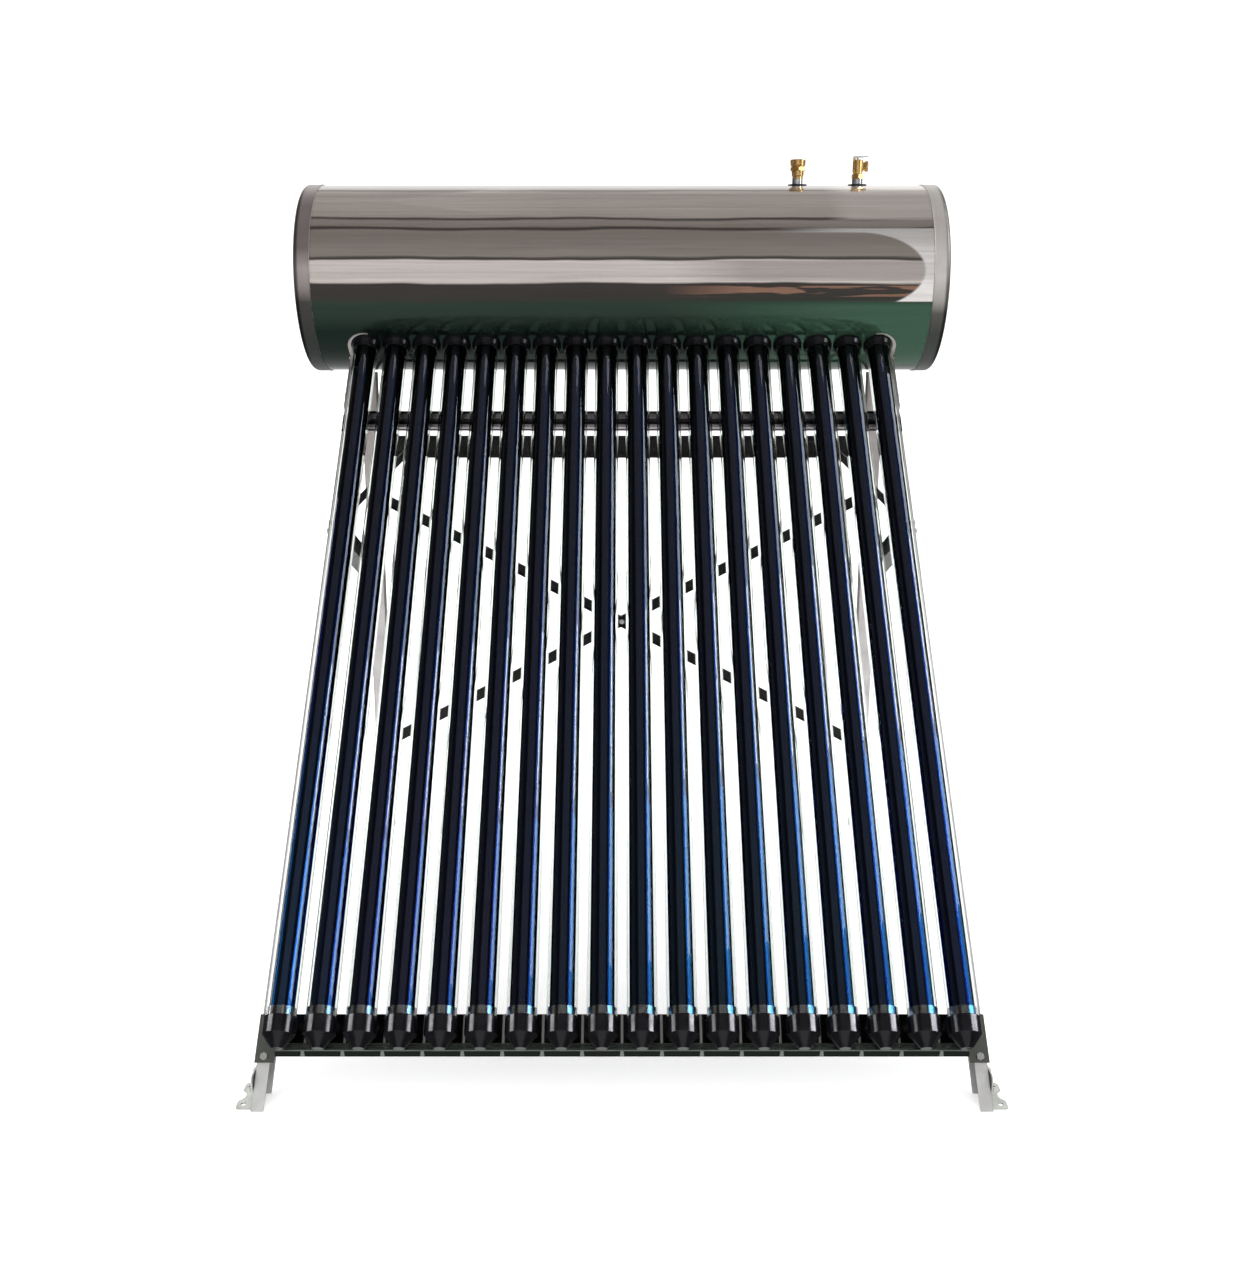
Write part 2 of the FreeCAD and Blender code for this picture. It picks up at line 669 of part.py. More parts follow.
def tail_cup():
    """Cone cup under a tube, with a lug that is screwed to the tail rail's web."""
    edge = CUP_RADIUS - CUP_BEVEL
    cone = [(0, -CUP_DEPTH), (CUP_TIP, -CUP_DEPTH), (edge, -CUP_COLLAR - CUP_BEVEL),
            (CUP_RADIUS, -CUP_COLLAR)]
    collar = [(CUP_RADIUS, -CUP_BEVEL), (edge, 0), (CUP_BORE, 0), (CUP_BORE, CUP_STEP - CUP_COLLAR)]
    floor = CUP_WALL - CUP_DEPTH
    inner = [(CUP_BORE - CUP_INNER_STEP, -CUP_COLLAR - CUP_INNER_STEP), (CUP_TIP - CUP_WALL, floor),
             (0, floor)]
    cup = turned(cone + collar + inner)
    half = CUP_LUG_WIDTH / 2
    lug = box(-half, half, CUP_BORE, WEB_FACE, *CUP_LUG_SPAN)
    start = V(0, RAIL_FACE - SCREW_LENGTH, CUP_SCREW_ALONG)
    screw = rod(SCREW_RADIUS, start, V(0, RAIL_FACE, CUP_SCREW_ALONG))
    return fuse([cup, lug.cut([rod(CUP_BORE, V(0, 0, -CUP_DEPTH), V(0, 0, OVER)), screw])])


def cup_screws():
    """One pan-head screw through the rail into each cup's lug."""
    screws = []
    for x in TUBE_X:
        start = V(x, RAIL_FACE, CUP_SCREW_ALONG)
        shank = rod(SCREW_RADIUS, start - Y_AXIS * SCREW_LENGTH, start + Y_AXIS * OVER)
        head = rod(SCREW_HEAD, start, start + Y_AXIS * SCREW_HEAD_HEIGHT)
        screws.append(on_slope(fuse([shank, head])))
    return Part.makeCompound(screws)


def port_gaskets():
    """Black grommets that close the shell around the two top necks and the inlet."""
    low, high = (SHELL_RADIUS + offset for offset in GASKET_SPAN)
    shell = tank_rod(SHELL_RADIUS, SHELL_LENGTH / 2)
    pieces = []
    for x in PORT_X:
        disc = upright_rod(GASKET_RADIUS, x, low, high)
        pieces.append(disc.cut([shell, upright_rod(PORT_RADIUS, x, 0, high + OVER)]))
    disc = inlet_rod(GASKET_RADIUS, low, high)
    pieces.append(disc.cut([shell, inlet_rod(INLET_NECK, 0, high + OVER)]))
    return Part.makeCompound([on_slope(p) for p in pieces])


# Front frame

def ground_cut(shape):
    return shape.cut(box(-HUGE, HUGE, -HUGE, HUGE, -HUGE, 0))


def side_rail(side):
    """Inclined channel that carries the tubes and stands on the ground."""
    start = -CUP_LIP_HEIGHT / SIN - RAIL_DEPTH - 40
    rail = channel(RAIL_TOP - start, RAIL_DEPTH, RAIL_FLANGE, -side)
    rail = moved(rail, side * RAIL_OUTER, RAIL_FACE, start)
    return ground_cut(on_slope(rail))


def tail_rail():
    """Folded rail behind and below the cups: web, level shelf, hanging lip and a tab on each side rail."""
    shelf = (WEB_FACE - TAIL_SHELF * COS, TAIL_BEND - TAIL_SHELF * SIN)
    lip = (shelf[0] + TAIL_LIP * COS, shelf[1] - TAIL_LIP * SIN)
    profile = [(WEB_FACE, TAIL_TOP), (WEB_FACE, TAIL_BEND), shelf, lip]
    pieces = [folded_profile(profile[::-1], TAIL_SHELF_HALF, SHEET)]
    for side in (-1, 1):
        start, end = side * TAIL_SHELF_HALF, side * TAIL_HALF
        pieces.append(box(start - side * SHEET, end, WEB_FACE, RAIL_FACE, TAIL_BEND, TAIL_TOP))
        pieces.append(box(start + side * SHEET, end, WEB_FACE, RAIL_FACE, TAIL_TAB, TAIL_TOP))
    holes = []
    for x in TUBE_X:
        centre = V(x, WEB_FACE, CUP_SCREW_ALONG)
        holes.append(rod(SCREW_RADIUS, centre - Y_AXIS * OVER, centre + Y_AXIS * (SHEET + OVER)))
    return on_slope(fuse(pieces).cut(holes))


def mid_rail():
    """Cross channel behind the tubes with a pressed groove and flattened ends."""
    low, high = MID_LOW, MID_HIGH
    groove_low, groove_high = MID_GROOVE
    deep = MID_FACE + MID_GROOVE_DEPTH
    profile = [(WEB_FACE, low), (MID_FACE, low), (MID_FACE, groove_low), (deep, groove_low + 1),
               (deep, groove_high - 1), (MID_FACE, groove_high), (MID_FACE, high), (WEB_FACE, high)]
    pieces = [folded_profile(profile, MID_CHANNEL_HALF, SHEET)]
    for side in (-1, 1):
        inner, outer = side * MID_CHANNEL_HALF, side * (MID_CHANNEL_HALF + SHEET)
        pieces.append(box(inner, outer, MID_FACE, RAIL_FACE, low, high))
        pieces.append(box(inner, side * RAIL_OUTER, WEB_FACE, RAIL_FACE, low, high))
    return on_slope(fuse(pieces))


# Rear frame, in the stand frame

def rear_leg(side):
    leg = channel(LEG_TOP, LEG_DEPTH, LEG_FLANGE, -side)
    return moved(leg, side * RAIL_OUTER, LEG_FRONT, 0)


def rear_crossbar():
    """Folded bar across the legs with a pressed bead along its lower part."""
    low, high = BAR_LOW, BAR_HIGH
    face = LEG_FRONT + LEG_DEPTH
    bead_low, bead_high, bead_depth = BAR_BEAD
    profile = [(face + BAR_FLANGE, low), (face, low), (face, low + bead_low),
               (face + bead_depth, low + (bead_low + bead_high) / 2), (face, low + bead_high),
               (face, high), (face + BAR_FLANGE, high)]
    return folded_profile(profile, RAIL_OUTER, SHEET)


def slanted_channel(start, end, width, flange, push):
    """C section between two points in an XZ or YZ plane; its web starts at those points' plane."""
    run = (end - start).normalize()
    up = push.cross(run)
    if up.z < 0:
        up = up * -1
    length = (end - start).Length
    base = start - up * (width / 2)
    outer = plate([V(0, 0, 0), run * length, run * length + push * flange, push * flange], base, up * width)
    a = push * SHEET
    b = push * (flange + OVER)
    hollow = plate([a, run * length + a, run * length + b, b], base + up * SHEET, up * (width - 2 * SHEET))
    return outer.cut(hollow)


def cross_brace(side):
    """Back brace from the left leg's foot to the right leg's top, or the other way for side = -1."""
    behind = side > 0
    y = LEG_FRONT + LEG_DEPTH - (0 if behind else SHEET)
    push = V(0, 1, 0) if behind else V(0, -1, 0)
    low = V(-side * LEG_BOLT_X, y, BRACE_LOW)
    high = V(side * LEG_BOLT_X, y, BRACE_HIGH)
    reach = (high - low).normalize() * BRACE_REACH
    return slanted_channel(low - reach, high + reach, BRACE_WIDTH, BRACE_FLANGE, push)


def side_brace(side):
    """Brace on the outer faces of rail and leg; its flanges are trimmed away at both ends."""
    x = side * RAIL_OUTER
    top = slope_point(x, SIDE_BRACE_TOP[0], SIDE_BRACE_TOP[1])
    foot = V(x, REAR_FOOT_Y, SIDE_BRACE_FOOT)
    reach = (foot - top).normalize() * SIDE_BRACE_REACH
    start, end = top - reach, foot + reach
    web = slanted_channel(start, end, SIDE_BRACE_WIDTH, SHEET, V(side, 0, 0))
    inner = slanted_channel(start, end, SIDE_BRACE_WIDTH, SIDE_BRACE_FLANGE, V(-side, 0, 0))
    rail_side = on_slope(box(-HUGE, HUGE, -HUGE, RAIL_FACE + RAIL_DEPTH + SIDE_BRACE_TRIM, -HUGE, HUGE))
    leg_side = box(-HUGE, HUGE, LEG_FRONT - SIDE_BRACE_TRIM, HUGE, -HUGE, HUGE)
    folds = inner.cut([rail_side, leg_side])
    return fuse([web, folds])


def corner_brace(side):
    """Flat tie from the rail's back flange to the rear crossbar, with a tab at each end."""
    rail_back = RAIL_FACE + RAIL_DEPTH
    leg_back = LEG_FRONT + LEG_DEPTH
    middle = (BAR_LOW + BAR_HIGH) / 2
    half = CORNER_BAR / 2
    start = slope_point(side * (CORNER_RAIL_X - half), rail_back + CORNER_THICK / 2, CORNER_RAIL)
    end = V(side * (CORNER_BAR_X + half), leg_back - CORNER_THICK / 2, middle)
    run = (end - start).normalize()
    across = run.cross(Z_AXIS).normalize()
    up = across.cross(run).normalize()
    length = (end - start).Length
    corner = start - across * (CORNER_THICK / 2) - up * half
    bar = plate([V(0, 0, 0), run * length, run * length + up * CORNER_BAR, up * CORNER_BAR], corner,
                across * CORNER_THICK)
    rail_tab = box(side * (CORNER_RAIL_X + half), side * (CORNER_RAIL_X - CORNER_BAR_TAB),
                   rail_back, rail_back + CORNER_THICK,
                   CORNER_RAIL - CORNER_RAIL_TAB, CORNER_RAIL + CORNER_RAIL_TAB)
    bar_tab = box(side * (CORNER_BAR_X - CORNER_BAR_TAB), side * (CORNER_BAR_X + CORNER_BAR_TAB),
                  leg_back - CORNER_THICK, leg_back, middle - half, middle + half)
    keep_off_rail = on_slope(box(-HUGE, HUGE, -HUGE, rail_back, -HUGE, HUGE))
    keep_off_bar = box(-HUGE, HUGE, leg_back, HUGE, -HUGE, HUGE)
    return fuse([bar.cut([keep_off_rail, keep_off_bar]), on_slope(rail_tab), bar_tab])


# Saddles between the frame and the tank

def yz(point):
    return V(0, point.y, point.z)


def saddle_gusset(side):
    """Side plate bolted outside the rail and the leg, cut to the tank's radius."""
    rail_back = RAIL_FACE + RAIL_DEPTH
    leg_back = LEG_FRONT + LEG_DEPTH
    low = SADDLE_LEG_BOTTOM
    notch_reach, notch_low, notch_high = GUSSET_NOTCH
    corners = [yz(slope_point(0, WEB_FACE, SADDLE_BOTTOM)),
               yz(slope_point(0, WEB_FACE, RAIL_TOP + GUSSET_RISE)),
               V(0, TANK_Y, TANK_Z - GUSSET_TANK[0]), V(0, leg_back, TANK_Z - GUSSET_TANK[1]),
               V(0, leg_back, low), V(0, LEG_FRONT, low), V(0, LEG_FRONT, low + notch_low),
               V(0, LEG_FRONT - notch_reach, low + notch_high),
               yz(slope_point(0, rail_back, RAIL_TOP - GUSSET_RAIL)),
               yz(slope_point(0, rail_back, SADDLE_BOTTOM))]
    return plate(corners, V(side * RAIL_OUTER, 0, 0), V(side * SADDLE_SHEET, 0, 0))


def saddle_strap(inner, outer):
    """Strap between two X values that follows the tank from the tubes' front to behind the leg."""
    start = math.radians(SADDLE_START)
    out = V(0, -math.cos(start), -math.sin(start))
    centre = V(0, TANK_Y, TANK_Z)
    corners = []
    for x, r in ((inner, SHELL_RADIUS), (outer, SHELL_RADIUS), (outer, SHELL_RADIUS + SADDLE_SHEET),
                 (inner, SHELL_RADIUS + SADDLE_SHEET)):
        corners.append(centre + out * r + V(x, 0, 0))
    face = Part.Face(Part.makePolygon(corners + corners[:1]))
    return face.revolve(centre, X_AXIS, SADDLE_SWEEP)


def saddle_nose(side):
    """Front of the strap, a tapering hook around the outermost dust ring."""
    shift, back = NOSE_CENTRE
    x = side * (TUBE_X[-1] + shift)
    hook = rod(NOSE_RADIUS, V(x, back, SADDLE_BOTTOM), V(x, back, TANK_DISTANCE))
    front = box(side * NOSE_INNER, side * NOSE_OUTER, back - NOSE_RADIUS, back, SADDLE_BOTTOM, TANK_DISTANCE)
    cheek = box(side * SADDLE_INNER, side * NOSE_OUTER, back, SADDLE_NOSE_END, SADDLE_BOTTOM, TANK_DISTANCE)
    room = on_slope(fuse([hook.common(front), cheek]))
    return saddle_strap(side * NOSE_INNER, side * NOSE_OUTER).common(room)


def saddle_tongue(side):
    """Plate in front of the rail's flange, with a relief slot above the rail's end."""
    outer = side * (RAIL_OUTER + SADDLE_SHEET)
    inner = side * (RAIL_OUTER - RAIL_FLANGE)
    tongue = box(inner, outer, WEB_FACE, RAIL_FACE, SADDLE_BOTTOM, TANK_DISTANCE)
    slot = box(inner, side * NOSE_OUTER, WEB_FACE - OVER, RAIL_FACE + OVER, *SADDLE_SLOT)
    return on_slope(tongue.cut(slot))


def saddle(side):
    """Tank support at one end of the stand: gusset, strap, hooked nose and tongue as one folded sheet."""
    tank = on_slope(tank_rod(SHELL_RADIUS, HUGE / 4))
    front = on_slope(box(-HUGE, HUGE, -HUGE, SADDLE_NOSE_END, -HUGE, HUGE))
    strap = saddle_strap(side * SADDLE_INNER, side * (RAIL_OUTER + SADDLE_SHEET)).cut(front)
    body = fuse([saddle_gusset(side), strap, saddle_nose(side), saddle_tongue(side)])
    x = side * TUBE_X[-1]
    ring_room = rod(RING_CLEARANCE, V(x, 0, SADDLE_BOTTOM), V(x, 0, TANK_DISTANCE))
    return body.cut([tank, on_slope(ring_room)])


# Feet

def foot_bracket(side, y):
    """Bent foot: a floor plate with two anchor holes and a waist, and an ear on the web."""
    inner = side * RAIL_OUTER
    outer = side * (RAIL_OUTER + FOOT_WIDTH)
    half = FOOT_LENGTH / 2
    floor = box(inner, outer, y - half, y + half, 0, FOOT_SHEET)
    corners = [e for e in edges_at_x(floor, outer) if abs(e.Length - FOOT_SHEET) < CLOSE]
    floor = floor.makeFillet(FOOT_ROUND, corners)
    waist_x = outer + side * FOOT_WAIST_OUT
    waist = rod(FOOT_WAIST, V(waist_x, y, -OVER), V(waist_x, y, FOOT_SHEET + OVER))
    cutters = [waist]
    for step in (-FOOT_HOLE_OFFSET, FOOT_HOLE_OFFSET):
        centre = V(side * (RAIL_OUTER + FOOT_HOLE_OUT), y + step, 0)
        cutters.append(rod(FOOT_HOLE, centre - Z_AXIS * OVER, centre + Z_AXIS * (FOOT_SHEET + OVER)))
    ear = box(inner, inner + side * FOOT_SHEET, y - FOOT_EAR_HALF, y + FOOT_EAR_HALF, 0, FOOT_EAR)
    short = [e for e in ear.Edges if abs(e.Length - FOOT_SHEET) < CLOSE]
    ear = ear.makeFillet(FOOT_EAR_ROUND, [e for e in short if abs(e.CenterOfMass.z - FOOT_EAR) < CLOSE])
    return fuse([floor.cut(cutters), ear])


# Top fittings, each about its own vertical axis with Z = 0 at the brass's lower face

def coil(radius, wire, start, top):
    """Helical spring that fills the height between two faces."""
    height = top - start - 2 * wire
    helix = Part.makeHelix(height / COIL_TURNS, height, radius)
    section = Part.Wire([Part.Circle(V(radius, 0, 0), Y_AXIS, wire).toShape()])
    spring = Part.Wire(helix.Edges).makePipeShell([section], True, True)
    return moved(spring, z=start + wire)


def wrench_nut(across, height, low):
    """Hexagon whose corners are turned down at both ends."""
    top = low + height
    end, side = across - NUT_BEVEL, across - NUT_TURN
    bevel = [(0, low), (end, low), (side, low + NUT_BEVEL), (side, top - NUT_BEVEL), (end, top), (0, top)]
    return hexagon(across, height, V(0, 0, low)).common(turned(bevel))


def check_valve_body():
    """Brass outlet fitting that widens upward, with a wrench hexagon and a female thread."""
    height = CHECK_HEIGHT
    thread = height - THREAD_DEPTH
    guide = thread - SPIDER_DROP
    rim = [(CHECK_RIM, height - CHECK_BEVEL[1]), (CHECK_RIM - CHECK_BEVEL[0], height), (0, height)]
    body = turned([(0, 0), (PORT_RADIUS, 0), (PORT_RADIUS, CHECK_FOOT)] + CHECK_BARREL + rim)
    drop, inlet = FITTING_INLET
    cavity = turned([(0, -drop), (inlet, -drop), (inlet, CHECK_SEAT), (CHECK_CHAMBER, CHECK_SEAT),
                     (CHECK_CHAMBER, thread), (THREAD_BORE, thread), (THREAD_BORE, height + OVER),
                     (0, height + OVER)])
    reach = CHECK_CHAMBER + OVER
    spider = box(-reach, reach, -SPIDER / 2, SPIDER / 2, guide - SPIDER, guide)
    spider = spider.cut(rod(CHECK_STEM + SLIDE_GAP, V(0, 0, 0), V(0, 0, height)))
    return fuse([fuse([body, wrench_nut(*CHECK_NUT)]).cut(cavity), spider])


def check_poppet():
    """Disc that sits on the seat, with a stem guided by the spider."""
    low = CHECK_SEAT + SEAT_GAP
    high = low + DISC_THICK
    top = CHECK_HEIGHT - THREAD_DEPTH - SPIDER_DROP - STEM_DROP
    return turned([(0, low), (CHECK_DISC, low), (CHECK_DISC, high), (CHECK_STEM, high),
                   (CHECK_STEM, top), (0, top)])


def check_spring():
    top = CHECK_HEIGHT - THREAD_DEPTH - SPIDER_DROP - SPIDER
    return coil(*CHECK_COIL, CHECK_SEAT + DISC_THICK + 2 * SEAT_GAP, top)


def relief_outlet():
    """Flared side branch and its threaded bore, both about the vertical axis before they are turned."""
    reach = OUTLET_REACH
    thread = reach - THREAD_DEPTH
    branch = turned(OUTLET_PIPE + [(OUTLET_FLARE, reach), (0, reach)])
    bore = turned([(0, 0), (OUTLET_BORE, 0), (OUTLET_BORE, thread), (THREAD_BORE, thread),
                   (THREAD_BORE, reach + OVER), (0, reach + OVER)])
    return [aim(shape, V(0, 0, OUTLET_HEIGHT), X_AXIS) for shape in (branch, bore)]


def relief_body():
    """Brass pressure and temperature relief valve: flared side outlet and a post for the lever's pin."""
    height = RELIEF_HEIGHT
    nut = wrench_nut(*RELIEF_NUT)
    step, rise, run = RELIEF_SHOULDER
    base = RELIEF_NUT[1]
    bevel, drop = RELIEF_BEVEL
    body = turned([(0, 0), (PORT_RADIUS, 0), (PORT_RADIUS, base), (RELIEF_BODY - step, base + rise),
                   (RELIEF_BODY, base + run), (RELIEF_BODY, height - drop), (RELIEF_BODY - bevel, height),
                   (0, height)])
    branch, bore = relief_outlet()
    low, inlet = RELIEF_INLET
    crown = height - RELIEF_CROWN
    chamber = turned([(0, -low), (inlet, -low), (inlet, STEM_SEAT), (RELIEF_CHAMBER, STEM_SEAT),
                      (RELIEF_CHAMBER, crown), (0, crown)])
    guide = rod(STEM_RADIUS + SLIDE_GAP, V(0, 0, 0), V(0, 0, height + OVER))
    back, front, half, rise = POST
    post = box(LEVER_PIN_X - back, LEVER_PIN_X + front, -half, half, height - OVER, LEVER_PIN_Z + rise)
    pin_hole = pin_rod(LEVER_PIN_RADIUS, LEVER_HOLE_HALF)
    return fuse([body, nut, branch, post]).cut([chamber, bore, guide, pin_hole])


def pin_rod(radius, half):
    """Rod along the lever's pin axis."""
    return rod(radius, V(LEVER_PIN_X, -half, LEVER_PIN_Z), V(LEVER_PIN_X, half, LEVER_PIN_Z))


def lever_pin():
    return pin_rod(LEVER_PIN_RADIUS, LEVER_PIN_HALF)


def lever_arm(side):
    """One arm with its eye on the pin, and a lug that reaches in under the stem's head."""
    inner, outer = side * LEVER_ARM, side * (LEVER_ARM + LEVER_THICK)
    past = side * OVER
    low = LEVER_PIN_Z + ARM_LEVEL
    lug_top = RELIEF_HEIGHT + STEM_NECK - LUG_GAP
    lug_low = lug_top - LUG_THICK
    arm = box(LEVER_PIN_X - EYE_RADIUS, ARM_END, inner, outer,
              LEVER_PIN_Z + ARM_SPAN[0], LEVER_PIN_Z + ARM_SPAN[1])
    trim = box(LEVER_PIN_X + TRIM_START[0], ARM_END + OVER, inner - past, outer + past,
               LEVER_PIN_Z - TRIM_REACH, LEVER_PIN_Z + TRIM_START[1])
    corner = box(LEVER_PIN_X - TRIM_REACH, LEVER_PIN_X, inner - past, outer + past,
                 LEVER_PIN_Z - TRIM_REACH, LEVER_PIN_Z + TRIM_REACH)
    eye = rod(EYE_RADIUS, V(LEVER_PIN_X, inner, LEVER_PIN_Z), V(LEVER_PIN_X, outer, LEVER_PIN_Z))
    hanger = box(*LUG_X, inner, outer, lug_low, low)
    lug = box(*LUG_X, side * LUG_INNER, outer, lug_low, lug_top)
    return [arm.cut([trim, corner]), eye, hanger, lug]


def relief_lever():
    """Test lever: two arms on the pin, lugs under the stem's head and a thumb plate above the outlet."""
    outer = LEVER_ARM + LEVER_THICK
    plate_low = LEVER_PIN_Z + THUMB_LEVEL
    thumb = box(THUMB_START, LEVER_END, -outer, outer, plate_low, plate_low + LEVER_THICK)
    short = [e for e in thumb.Edges if abs(e.Length - LEVER_THICK) < CLOSE]
    thumb = thumb.makeFillet(THUMB_ROUND, [e for e in short if abs(e.CenterOfMass.x - LEVER_END) < CLOSE])
    pin_hole = pin_rod(LEVER_PIN_RADIUS + TURN_GAP, LEVER_HOLE_HALF)
    return fuse([thumb] + lever_arm(-1) + lever_arm(1)).cut(pin_hole)


def relief_stem():
    """Stem with its sealing disc inside the chamber and a lift head between the lever's arms."""
    low = STEM_SEAT + SEAT_GAP
    high = low + DISC_THICK
    head = RELIEF_HEIGHT + STEM_NECK
    top = head + STEM_HEAD_THICK
    return turned([(0, low), (STEM_DISC, low), (STEM_DISC, high), (STEM_RADIUS, high), (STEM_RADIUS, head),
                   (STEM_HEAD, head), (STEM_HEAD, top), (0, top)])


def relief_spring():
    return coil(*RELIEF_COIL, STEM_SEAT + DISC_THICK + 2 * SEAT_GAP, RELIEF_HEIGHT - RELIEF_CROWN)


# Assembly

def fitting(shape, x):
    return moved(shape, x, TANK_Y, FITTING_FOOT)


def frame_nodes():
    nodes = {"tail_rail": tail_rail(), "mid_rail": mid_rail(), "rear_crossbar": rear_crossbar(),
             "rear_brace_rising_right": cross_brace(1), "rear_brace_rising_left": cross_brace(-1)}
    for side, word in ((-1, "left"), (1, "right")):
        nodes["side_rail_" + word] = side_rail(side)
        nodes["rear_leg_" + word] = rear_leg(side)
        nodes["side_brace_" + word] = side_brace(side)
        nodes["corner_brace_" + word] = corner_brace(side)
        nodes["saddle_" + word] = saddle(side)
        nodes["foot_front_" + word] = foot_bracket(side, FRONT_FOOT_Y)
        nodes["foot_rear_" + word] = foot_bracket(side, REAR_FOOT_Y)
    cutters = bolt_cutters()
    return {name: drilled(shape, cutters) for name, shape in nodes.items()}


def tank_nodes():
    cover = end_cover()
    return {"tank_shell": on_slope(tank_shell()), "end_cover_right": on_slope(cover),
            "end_cover_left": on_slope(mirrored(cover)), "insulation_foam": on_slope(insulation_foam()),
            "inner_tank": on_slope(inner_tank()), "anode_rod": on_slope(anode_rod())}


def collector_nodes():
    glass = glass_tube()
    nodes = {"absorber_tubes": row(absorber_tube()), "getter_bands": row(getter_band()),
             "heat_pipes": row(heat_pipe()), "heat_fins": row(heat_fin()), "dust_rings": row(dust_ring()),
             "tail_cups": row(tail_cup()), "cup_screws": cup_screws(), "port_gaskets": port_gaskets()}
    for i, x in enumerate(TUBE_X):
        nodes["glass_tube_%02d" % (i + 1)] = on_slope(moved(glass, x))
    return nodes


def fitting_nodes():
    outlet_x, relief_x = PORT_X
    return {"check_valve_body": fitting(check_valve_body(), outlet_x),
            "check_poppet": fitting(check_poppet(), outlet_x),
            "check_spring": fitting(check_spring(), outlet_x),
            "relief_body": fitting(relief_body(), relief_x),
            "relief_lever": fitting(relief_lever(), relief_x),
            "relief_stem": fitting(relief_stem(), relief_x),
            "relief_spring": fitting(relief_spring(), relief_x),
            "lever_pin": fitting(lever_pin(), relief_x)}


def main():
    os.makedirs("parts", exist_ok=True)
    nodes = {"frame_bolts": frame_bolts()}
    for group in (frame_nodes, tank_nodes, collector_nodes, fitting_nodes):
        nodes.update(group())
    for name in sorted(nodes):
        shape = moved(nodes[name], y=-ORIGIN_Y)
        shape.exportStep("parts/" + name + ".step")
        print(name, len(shape.Solids), shape.isValid(), round(shape.Volume / 1000, 1))
    print(len(nodes), "nodes")


main()
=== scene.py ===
"""Looks of the solar water heater: metals, glass, mouldings, a pale floor, studio light and the camera."""
import math

import bmesh
import bpy
from mathutils import Matrix, Vector


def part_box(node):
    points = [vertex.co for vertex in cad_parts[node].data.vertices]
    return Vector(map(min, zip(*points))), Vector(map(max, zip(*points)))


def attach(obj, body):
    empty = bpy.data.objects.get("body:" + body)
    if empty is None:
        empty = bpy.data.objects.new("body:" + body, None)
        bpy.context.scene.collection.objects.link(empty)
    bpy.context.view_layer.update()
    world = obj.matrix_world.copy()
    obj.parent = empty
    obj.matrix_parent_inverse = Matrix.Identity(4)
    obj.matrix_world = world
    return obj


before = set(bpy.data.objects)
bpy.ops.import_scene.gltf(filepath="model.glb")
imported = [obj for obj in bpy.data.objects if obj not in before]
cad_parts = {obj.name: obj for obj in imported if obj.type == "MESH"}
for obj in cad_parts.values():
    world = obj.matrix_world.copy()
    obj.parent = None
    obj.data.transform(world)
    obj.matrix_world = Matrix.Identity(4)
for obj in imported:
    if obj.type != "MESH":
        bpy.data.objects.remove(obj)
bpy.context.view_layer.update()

BODY = "heater"
GLASS_TUBES = [name for name in sorted(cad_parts) if name.startswith("glass_tube_")]

# Places worked out from the frame, in metres
SHELL_LOW, SHELL_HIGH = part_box("tank_shell")
TANK_CENTRE = (SHELL_LOW + SHELL_HIGH) / 2
TANK_RADIUS = (SHELL_HIGH.z - SHELL_LOW.z) / 2
COVER_LOW, COVER_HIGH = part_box("end_cover_right")
COVER_RADIUS = (COVER_HIGH.z - COVER_LOW.z) / 2
MID_LOW, MID_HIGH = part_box("mid_rail")
TUBE_LOW, TUBE_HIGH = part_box("glass_tube_01")
TUBE_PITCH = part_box("glass_tube_02")[0].x - TUBE_LOW.x
TUBES_HALF = TUBE_PITCH * len(GLASS_TUBES) / 2

# The tubes' foot at the middle of the heater, the direction up them, and the way they face
X_AXIS = Vector((1.0, 0.0, 0.0))
TUBE_FOOT = Vector((0.0, TUBE_LOW.y, TUBE_LOW.z))
SLOPE = Vector((0.0, TUBE_HIGH.y - TUBE_LOW.y, TUBE_HIGH.z - TUBE_LOW.z)).normalized()
TUBE_FACE = X_AXIS.cross(SLOPE)

# Tail rail, in metres: gap from the cups to its level shelf, depth of the lip under the shelf, and half its
# length between the end tabs
CUP_GAP = 0.0035
LIP_DEPTH = 0.014
SHELF_END = 0.652
SHELF_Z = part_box("tail_cups")[0].z - CUP_GAP
LIP_LOW = SHELF_Z - LIP_DEPTH

# Camera: place and furthest sight in metres, pitch in degrees, lens and sensor in millimetres
CAMERA_PLACE = (-0.001, -3.165, 1.4516)
CAMERA_REACH = 200.0
CAMERA_PITCH = 13.4
CAMERA_LENS = 39.73
CAMERA_SENSOR = 36.0

# Brightness of the surroundings: what the eye and matt surfaces see, then what gloss reflects
WHITE_LIGHT = 1.3
FRONT_LIGHT = 0.50
BACK_LIGHT = 1.0
ZENITH_LIGHT = 0.22
SIDE_SHARE = 0.12
FLOOR_LIGHT = 0.70

# Where the reflected surroundings change, as the first and last value of a direction's x, y or z
FRONT_TO_BACK = (-0.3, 0.12)
OVERHEAD = (0.45, 0.85)
HORIZON = (0.01, -0.02)
SIDES = (0.35, 0.50)

# Sun: strength, width in degrees, and turn about X and Y in degrees
SUN_POWER = 1.2
SUN_WIDTH = 50.0
SUN_TURN = (-22.0, 6.0)

# Lit boards: distance in metres from the line up the middle of the tubes, and the nodes that show the low
# boards and the left one
PANEL_DISTANCE = 3.14
LOW_SHINE = ["tail_cups", "getter_bands", "tail_rail"]
LEFT_TUBE = ["glass_tube_01"]

# Floor: half its width and its depth under the feet, in metres, and how much light it gives of its own
FLOOR_HALF = 30.0
FLOOR_DROP = 0.0005
FLOOR_GLOW = 0.45

# Rolled bead at a cover's seam: wire radius in metres, then points round the tank and round the wire
BEAD_WIRE = 0.0011
BEAD_AROUND = 160
BEAD_SECTION = 10

